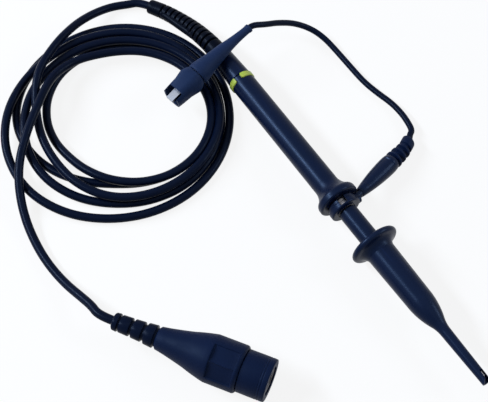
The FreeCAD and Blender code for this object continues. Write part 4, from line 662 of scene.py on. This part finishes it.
class Stage(bpy.types.Operator):
    """Sets the pale floor, the soft lamps and the camera"""
    bl_idname = "probe.stage"
    bl_label = "Stage and camera"

    def execute(self, context):
        scene = context.scene
        scene.view_settings.view_transform = "Standard"
        camera = bpy.data.objects.new("camera", bpy.data.cameras.new("camera"))
        scene.collection.objects.link(camera)
        camera.location = CAMERA_PLACE
        camera.rotation_mode = "QUATERNION"
        camera.rotation_quaternion = (CAMERA_AIM - CAMERA_PLACE).to_track_quat("-Z", "Y")
        camera.data.lens = CAMERA_LENS
        camera.data.sensor_width = CAMERA_SENSOR
        camera.data.clip_start = 0.01
        scene.camera = camera
        self.floor()
        self.lamps(scene)
        return {"FINISHED"}

    def floor(self):
        """A matt paper floor that looks nearly white."""
        deselect()
        bpy.ops.mesh.primitive_plane_add(size=6, location=(0, 0, -FLOOR_DROP))
        floor = bpy.context.active_object
        floor.name = "floor"
        bpy.ops.object.transform_apply()
        paper = bpy.data.materials.new("paper")
        paper.use_nodes = True
        net = Net(paper.node_tree)
        net.tree.nodes.clear()
        fleck = net.add("ShaderNodeTexNoise", {
            "Vector": net.add("ShaderNodeTexCoord").outputs["Object"], "Scale": 900.0, "Detail": 2.0})
        tone = net.mix(fleck.outputs["Fac"], (0.8, 0.8, 0.8, 1), (0.84, 0.84, 0.84, 1))
        matt = net.add("ShaderNodeBsdfDiffuse", {"Color": tone})
        bright = net.add("ShaderNodeEmission", {"Color": (1, 1, 1, 1), "Strength": 1.0})
        share = net.add("ShaderNodeMixShader", {
            0: net.maths("MULTIPLY", net.sight(), 0.86), 1: matt.outputs[0], 2: bright.outputs[0]})
        net.add("ShaderNodeOutputMaterial", {"Surface": share.outputs[0]})
        floor.data.materials.append(paper)

    def facing(self, place, aim):
        """Turns a lamp to its aim with its wide side along the probe."""
        back = (place - aim).normalized()
        side = Vector((1, 0, 0))
        up = back.cross(side).normalized()
        return Matrix((up.cross(back), up, back)).transposed().to_quaternion()

    def lamps(self, scene):
        """A dim cool room that looks white, and the lamps."""
        world = bpy.data.worlds.new("room")
        world.use_nodes = True
        scene.world = world
        net = Net(world.node_tree)
        background = world.node_tree.nodes["Background"]
        background.inputs["Color"].default_value = (0.55, 0.62, 0.8, 1)
        background.inputs["Strength"].default_value = 0.16
        white = net.add("ShaderNodeBackground", {"Color": (1, 1, 1, 1), "Strength": 1.0})
        both = net.add("ShaderNodeMixShader", {
            0: net.sight(), 1: background.outputs[0], 2: white.outputs[0]})
        net.give(world.node_tree.nodes["World Output"], Surface=both.outputs[0])
        for name, given in LAMPS.items():
            lamp = bpy.data.lights.new(name, "AREA")
            lamp.shape = "RECTANGLE"
            lamp.size, lamp.size_y = given["size"]
            lamp.energy = given["power"]
            lamp.color = given["colour"]
            item = bpy.data.objects.new(name, lamp)
            item.location = given["place"]
            item.rotation_mode = "QUATERNION"
            item.rotation_quaternion = self.facing(Vector(given["place"]), Vector(given["aim"]))
            scene.collection.objects.link(item)


class Cords(bpy.types.Operator):
    """Lays the coaxial cable with its coil and the ground wire"""
    bl_idname = "probe.cords"
    bl_label = "Cable and ground wire"

    def execute(self, context):
        cable = route("cable", cable_points(), sizes().cable_diameter)
        wear(cable, "cable_jacket", "probe", "cable_lead_in", "cable_coil", "cable_tail")
        wire = route_mesh("ground_wire_jacket", wire_points(), sizes().wire_diameter)
        wear(wire, "cable_jacket", None, "ground_wire")
        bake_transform(wire)
        return {"FINISHED"}


class ProbeRelief(bpy.types.Operator):
    """Models the slotted bend relief behind the probe's cap"""
    bl_idname = "probe.probe_relief"
    bl_label = "Probe bend relief"

    def execute(self, context):
        length = length_of(read_line(spots(RELIEF))) / MM
        front, back, bore = 4.3, 3.25, 1.9
        first_slot, pitch, width, floor = 5.0, 1.525, 1.1, 0.68
        parting, near_arc, far_arc = 35, (200, 65), (75, 190)

        def radius(place):
            return front + (back - front) * place / length

        places = [0.0, 2.4, 4.0]
        slots = [first_slot + pitch * index for index in range(sizes().relief_slots)]
        for slot in slots:
            places += [slot - width / 2, slot + width / 2]
        places += [length - 2.2, length - 0.6]
        corners = [(0.0, bore)] + [(place, radius(place)) for place in places]
        corners += [(length - 0.15, back - 0.2), (length, back - 0.55), (length, bore),
                    (length - 3.0, bore), (0.0, bore)]
        relief = turned("probe_relief", corners, segments=60)
        # Every other slot is pressed into the near side of the relief, the rest into its far side
        for odd in (0, 1):
            chosen = slots[odd::2]

            def in_slot(middle, normal):
                beside = all(abs(middle.x - slot) >= 0.3 for slot in chosen)
                if beside or math.hypot(middle.y, middle.z) < bore + 0.3:
                    return False
                side = (turn_of(middle) - parting) % 360
                if odd:
                    return far_arc[0] < side < far_arc[1]
                return side > near_arc[0] or side < near_arc[1]

            select_faces(relief, in_slot)
            bpy.ops.mesh.extrude_region()
            bpy.ops.transform.resize(value=(1, floor, floor), center_override=(0, 0, 0))
        bpy.ops.object.mode_set(mode="OBJECT")
        settle(relief, Matrix.Scale(MM, 4), rounding=0.1)
        guide = route("relief_line", spots(RELIEF), 0.0)
        guide.data.twist_mode = "Z_UP"
        only(relief)
        bpy.ops.object.modifier_add(type="CURVE")
        bend = relief.modifiers[-1]
        bend.object = guide
        bend.deform_axis = "POS_X"
        bpy.ops.object.modifier_apply(modifier=bend.name)
        bpy.data.curves.remove(guide.data)
        bpy.ops.object.shade_smooth_by_angle(angle=math.radians(40))
        wear(relief, "relief_moulding", "probe", "probe_strain_relief", slot="soft_moulding")
        return {"FINISHED"}


class LeadGrip(bpy.types.Operator):
    """Models the grip on the ground lead and its short bend relief"""
    bl_idname = "probe.lead_grip"
    bl_label = "Lead grip"

    def execute(self, context):
        grip = turned("lead_grip_moulding", outline_of(
            (10.4, ON_AXIS), (10.4, 2.05), [110.0, 1, 10], (29.5, 4.0), [25.0, 1, 4], (32.2, 3.85),
            [2.6, 1, 5], (33.8, 2.9), (33.8, ON_AXIS)), 72)
        for up in (1, -1):
            def on_top(middle, normal):
                return 14.0 < middle.x < 31.0 and normal.z * up > 0.72
            select_faces(grip, on_top)
            bpy.ops.mesh.inset(thickness=0.35, depth=-0.12)
            bpy.ops.transform.resize(value=(1, 1, 0.92), center_override=(0, 0, 0))
        bpy.ops.object.mode_set(mode="OBJECT")
        settle(grip, LEAD_FRAME, angle=20)
        wear(grip, "black_moulding", "ground_lead", "lead_grip")
        neck = 2.0
        corners = [(33.9, ON_AXIS), (33.9, neck)]
        for start, end, radius in ((34.2, 35.4, 3.85), (37.4, 38.7, 3.65), (40.6, 41.9, 3.4)):
            corners += [(start, neck), (start + 0.08, radius), (end - 0.08, radius - 0.05), (end, neck)]
        corners += outline_of(
            (43.4, neck), (43.5, 3.1), (46.5, 3.1), [1.0, 1, 4], (LEAD_LENGTH, 2.1), (LEAD_LENGTH, ON_AXIS))
        relief = turned("lead_relief", corners, 48)
        lean(relief, LEAD_FRAME, LEAD_END_ASIDE, 41.0, LEAD_LENGTH)
        bpy.ops.object.mode_set(mode="OBJECT")
        settle(relief, LEAD_FRAME, rounding=0.18)
        wear(relief, "dull_moulding", "ground_lead", "lead_strain_relief", slot="soft_moulding")
        return {"FINISHED"}


class ClipBoots(bpy.types.Operator):
    """Models the two soft boots over the crocodile clip"""
    bl_idname = "probe.clip_boots"
    bl_label = "Clip boots"

    def execute(self, context):
        boot = turned("clip_rear_boot", outline_of(
            (0, ON_AXIS), (0, 1.95), (1.2, 1.95), (1.4, 1.8), [90.0, -1, 10], (15.0, 2.95), [120.0, -1, 6],
            (25.5, 4.35), [22.0, 1, 6], (30.8, 5.0), [1.0, 1, 4], (31.6, 4.5), (31.6, 4.2), (19.0, 2.15),
            (17.0, ON_AXIS)), 64)
        lean(boot, CLIP_FRAME, CLIP_TAIL_ASIDE, 16.0, 0.0)
        bpy.ops.object.mode_set(mode="OBJECT")
        settle(boot, CLIP_FRAME, rounding=0.12)
        wear(boot, "soft_moulding", "probe", "clip_boot")
        self.front_boot()
        return {"FINISHED"}

    def front_boot(self):
        """A hollow rounded box that swells and narrows along the clip, with a mouth for the jaws."""
        deselect()
        start, end, width, corner = 31.95, 46.6, 11.4, 4.3
        shoulder, swell, waist, lip = start + 1.0, start + 3.4, start + 7.5, end - 3.0
        wall, spread = 0.9, 1.22
        bpy.ops.mesh.primitive_cube_add(size=1, location=((start + end) / 2, 0, 0))
        boot = bpy.context.active_object
        boot.name = boot.data.name = "clip_nose_boot"
        bpy.ops.transform.resize(value=(end - start, width, width))
        bpy.ops.object.transform_apply()
        bpy.ops.object.mode_set(mode="EDIT")
        select_where(boot, "EDGE", lambda edge: abs(edge.verts[0].co.x - edge.verts[1].co.x) > 1)
        bpy.ops.mesh.bevel(offset=corner, segments=9, affect="EDGES")
        for place in (shoulder, swell, waist, lip):
            bpy.ops.mesh.select_all(action="SELECT")
            bpy.ops.mesh.bisect(plane_co=(place, 0, 0), plane_no=(1, 0, 0))
        for place, wanted in ((start, 9.0), (shoulder, 10.1), (waist, 9.8), (lip, 9.3), (end, 8.8)):
            select_where(boot, "VERT", lambda vertex: abs(vertex.co.x - place) < 0.01)
            share = wanted / width
            bpy.ops.transform.resize(value=(1, share, share), center_override=(place, 0, 0))
        select_faces(boot, lambda middle, normal: normal.x > 0.9 and middle.x > end - 0.1)
        bpy.ops.mesh.inset(thickness=wall)
        bpy.ops.mesh.extrude_region_move(TRANSFORM_OT_translate={"value": (start + wall - end, 0, 0)})
        bpy.ops.transform.resize(value=(1, spread, spread), center_override=(start + wall, 0, 0))
        select_faces(boot, lambda middle, normal: normal.x < -0.9 and middle.x < start + 0.1)
        bpy.ops.mesh.inset(thickness=1.5)
        bpy.ops.mesh.delete(type="FACE")
        select_faces(boot, lambda middle, normal: normal.x > 0.9 and middle.x < start + 1.2)
        bpy.ops.mesh.inset(thickness=1.0)
        bpy.ops.mesh.delete(type="FACE")
        self.join_rims(boot)
        bpy.ops.object.mode_set(mode="OBJECT")
        deselect()
        bpy.ops.mesh.primitive_cube_add(size=1, location=(end, 0, 4.6))
        cutter = bpy.context.active_object
        bpy.ops.transform.resize(value=(6.8, 7.2, 5.0))
        bpy.ops.object.transform_apply()
        cut_with(boot, cutter)
        settle(boot, CLIP_FRAME, rounding=0.22, segments=3)
        wear(boot, "soft_moulding", None, "clip_front_boot")
        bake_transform(boot)

    def join_rims(self, boot):
        """Bridges the two open rims at the boot's back."""
        select_where(boot, "EDGE", lambda edge: edge.is_boundary)
        bpy.ops.mesh.bridge_edge_loops()
        bpy.ops.mesh.select_all(action="SELECT")
        bpy.ops.mesh.normals_make_consistent(inside=False)


class ClipJaws(bpy.types.Operator):
    """Draws the clip's jaws out to the mouth of their boot"""
    bl_idname = "probe.clip_jaws"
    bl_label = "Clip jaws"

    def execute(self, context):
        still, moved, reach, narrowing = 32.0, 38.0, 2.3, 0.24
        inward = CLIP_FRAME.inverted()
        for node, name, body in (
            ("clip_upper_jaw", "upper_jaw_sheet", "upper_jaw"),
            ("clip_lower_jaw", "lower_jaw_sheet", "probe"),
        ):
            jaw = bpy.data.objects.new(name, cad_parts[node].data.copy())
            context.scene.collection.objects.link(jaw)
            only(jaw)
            bpy.ops.object.mode_set(mode="EDIT")
            bpy.ops.mesh.select_all(action="SELECT")
            bpy.ops.mesh.remove_doubles(threshold=0.000001)
            bpy.ops.object.mode_set(mode="OBJECT")
            for vertex in jaw.data.vertices:
                place = inward @ vertex.co
                share = min(max((place.x - still) / (moved - still), 0.0), 1.0)
                vertex.co = CLIP_FRAME @ (place + share * Vector((reach, -narrowing * place.y, 0)))
            bpy.ops.object.shade_smooth_by_angle(angle=math.radians(30))
            wear(jaw, "plated_steel", body, node)
        return {"FINISHED"}


class Plug(bpy.types.Operator):
    """Models the plug's ribbed relief, its faceted housing and the turning sleeve"""
    bl_idname = "probe.plug"
    bl_label = "Plug mouldings"

    FLOOR_GAP = 0.00001  # in metres, keeps the housing off the table

    def execute(self, context):
        self.relief()
        self.housing()
        self.sleeve()
        return {"FINISHED"}

    def relief(self):
        """Four ribs that grow towards the housing."""
        corners = [(0.3, ON_AXIS), (0.3, 2.9)]
        for start, end, first, last in (
            (0.5, 2.7, 3.55, 3.7), (3.4, 7.7, 3.6, 3.75), (8.8, 12.9, 3.85, 4.05), (14.2, 18.0, 4.3, 4.6),
        ):
            if start > 1:
                corners += [(start, first - 0.9), (start + 0.05, first - 0.1)]
            corners += [(start + 0.3, first), (end - 0.3, last), (end - 0.05, last - 0.1), (end, last - 0.9)]
        corners += [(18.85, 3.75), (18.85, ON_AXIS)]
        relief = turned("plug_relief", corners, 56)
        bpy.ops.object.mode_set(mode="OBJECT")
        settle(relief, PLUG_FRAME, rounding=0.14)
        wear(relief, "cable_jacket", "probe", "plug_strain_relief", slot="soft_moulding")

    def housing(self):
        """The flared shell with its four flats."""
        outer, bore, back, front, flat = 9.6, 7.75, 41.9, 52.5, 8.45
        housing = turned("plug_shell", outline_of(
            (18.9, 3.5), (18.9, 3.95), (19.5, 4.65), (22.5, 5.15), [260.0, -1, 6], (32.0, 7.25), [90.0, 1, 6],
            (41.2, outer), (back, outer), (44.5, outer), (50.0, outer), (front, outer), (53.0, outer),
            [1.2, 1, 4], (53.9, 9.0), (54.1, 8.7), (53.6, 8.0), (53.0, bore), (37.8, bore), (37.8, 3.95),
            (27.3, 3.95), (27.3, 3.5), (18.9, 3.5)), 72)
        for middle_turn in (-22.5, 22.5, 157.5, 202.5):
            def on_flat(middle, normal):
                away = (turn_of(middle) - middle_turn + 180) % 360 - 180
                outside = math.hypot(middle.y, middle.z) > 9.2
                return back < middle.x < front and abs(away) < 22 and outside

            select_faces(housing, on_flat)
            bpy.ops.mesh.inset(thickness=0.35)
            self.flatten(math.radians(middle_turn), flat)
        bpy.ops.object.mode_set(mode="OBJECT")
        self.trimmer_hole(housing)
        settle(housing, PLUG_FRAME, rounding=0.13, angle=18)
        for vertex in housing.data.vertices:
            vertex.co.z = max(vertex.co.z, self.FLOOR_GAP)
        wear(housing, "dull_moulding", "probe", "plug_housing", slot="black_moulding")

    def trimmer_hole(self, housing):
        """Drills the hole over the trimmer's screw, on the side that lies down."""
        place, radius, aside = 45.0, 1.5, math.radians(-8.3)
        deselect()
        bpy.ops.mesh.primitive_cylinder_add(
            vertices=32, radius=radius, depth=6, location=(place, 0, -9))
        hole = bpy.context.active_object
        bpy.ops.object.transform_apply()
        hole.data.transform(Matrix.Rotation(aside, 4, "X"))
        cut_with(housing, hole)

    def flatten(self, turn, distance):
        """Presses the selected faces onto a plane that faces away from the axis."""
        up = Vector((0, math.sin(turn), math.cos(turn)))
        across = Vector((0, math.cos(turn), -math.sin(turn)))
        axes = (Vector((1, 0, 0)), across, up)
        bpy.ops.transform.resize(
            value=(1, 1, 0), orient_type="GLOBAL", orient_matrix=axes, orient_matrix_type="GLOBAL",
            constraint_axis=(False, False, True), center_override=tuple(up * distance))

    def sleeve(self):
        """The smooth cylinder that the fingers turn."""
        back, front, bore, outer = 52.9, 65.6, 7.0, 8.6
        sleeve = turned("plug_sleeve", outline_of(
            (back, bore), (back, 7.5), (53.9, 7.5), (54.25, 7.9), (54.3, 8.4), (54.5, 8.55),
            (62.3, outer), (62.4, 8.48), (62.6, 8.48), (62.7, outer), (63.2, outer),
            (63.3, 8.45), (63.5, 8.45), (63.6, outer), (65.3, 8.55), [0.4, 1, 3], (front, 8.2),
            (front, 5.8), (65.15, 5.8), (65.15, bore), (back, bore)), 72)
        bpy.ops.object.mode_set(mode="OBJECT")
        settle(sleeve, PLUG_FRAME, rounding=0.08)
        wear(sleeve, "dull_moulding", "coupling", "coupling_sleeve", slot="black_moulding")


class HookSpring(bpy.types.Operator):
    """Winds the spring that is squeezed as the sleeve is drawn back"""
    bl_idname = "probe.hook_spring"
    bl_label = "Hook spring"

    def execute(self, context):
        start, end, radius, thickness, turns, steps = 99.58, 123.62, 3.85, 0.66 * MM, 9, 12
        reach = radius / math.cos(math.pi / steps)
        points = []
        for index in range(turns * steps + 1):
            share = index / (turns * steps)
            angle = 2 * math.pi * turns * share
            up, across = reach * math.sin(angle), reach * math.cos(angle)
            points.append(spot(start + (end - start) * share, across, AXIS_HEIGHT + up))
        spring = route_mesh("hook_spring_coil", points, thickness, 4, 3)
        wear(spring, "plated_steel", "hook", "hook_spring")
        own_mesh(spring)
        return {"FINISHED"}


class FrameFinishes(bpy.types.Operator):
    """Gives every piece that comes with the frame its finish"""
    bl_idname = "probe.frame_finishes"
    bl_label = "Finishes of the other pieces"

    NODES = {
        "black_moulding": ["barrel", "rear_cap", "nose_insulator", "hook_cap", "hook_sleeve",
                           "ground_collar"],
        "yellow_plastic": ["marker_ring"],
        "plated_steel": ["clip_pivot_pin", "clip_spring", "plug_wave_washer", "shield_tube"],
        # Darkened wire steel: painted shade on the hook wire inside the tip and on the contact in the
        # collar's window.
        "spring_wire": ["hook_wire", "ground_contact"],
        # Nearly black nickel: painted shade on the ground sleeve at the collar and on the nut in the plug's
        # gap.
        "tarnished_nickel": ["ground_sleeve", "bayonet_nut"],
        "nickel": ["cable_ferrule", "plug_body", "plug_shell_end", "plug_ferrule", "plug_contact_sleeve",
                   "hook_contact"],
        "gold_plated_brass": ["probe_tip_pin", "plug_centre_pin", "trimmer_screw"],
        "white_insulation": ["cable_core", "plug_insulator"],
        "circuit_board": ["circuit_board", "compensation_board"],
        "component_ceramic": ["input_resistor", "input_capacitor", "trimmer_body"],
        "soft_moulding": ["plug_gasket"],
    }

    def execute(self, context):
        for finish, names in self.NODES.items():
            for name in names:
                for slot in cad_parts[name].material_slots:
                    slot.material = finishes()[finish]
        return {"FINISHED"}


class DeclareCords(bpy.types.Operator):
    """Reads the lines of the cable and the ground wire, and keeps neither"""
    bl_idname = "probe.declare_cords"
    bl_label = "State the cords"

    def execute(self, context):
        line = read_line(cable_points())
        line = read_line(wire_points())
        return {"FINISHED"}


OPERATORS = (
    Stage, Cords, ProbeRelief, LeadGrip, ClipBoots, ClipJaws, Plug, HookSpring, FrameFinishes, DeclareCords)


class ProbePanel(bpy.types.Panel):
    """Lists the steps that build the probe"""
    bl_idname = "VIEW3D_PT_probe"
    bl_label = "Probe"
    bl_space_type = "VIEW_3D"
    bl_region_type = "UI"
    bl_category = "Probe"

    def draw(self, context):
        for group in (context.scene.probe_sizes, context.scene.probe_colours):
            for name in group.__annotations__:
                self.layout.prop(group, name)
        for operator in OPERATORS:
            self.layout.operator(operator.bl_idname)


CLASSES = (ProbeSizes, ProbeColours, *OPERATORS, ProbePanel)


def register():
    for item in CLASSES:
        bpy.utils.register_class(item)
    bpy.types.Scene.probe_sizes = PointerProperty(type=ProbeSizes)
    bpy.types.Scene.probe_colours = PointerProperty(type=ProbeColours)


def unregister():
    del bpy.types.Scene.probe_colours
    del bpy.types.Scene.probe_sizes
    for item in reversed(CLASSES):
        bpy.utils.unregister_class(item)


def main():
    register()
    for operator in OPERATORS:
        getattr(bpy.ops.probe, operator.bl_idname.split(".")[1])()


if __name__ == "__main__":
    main()
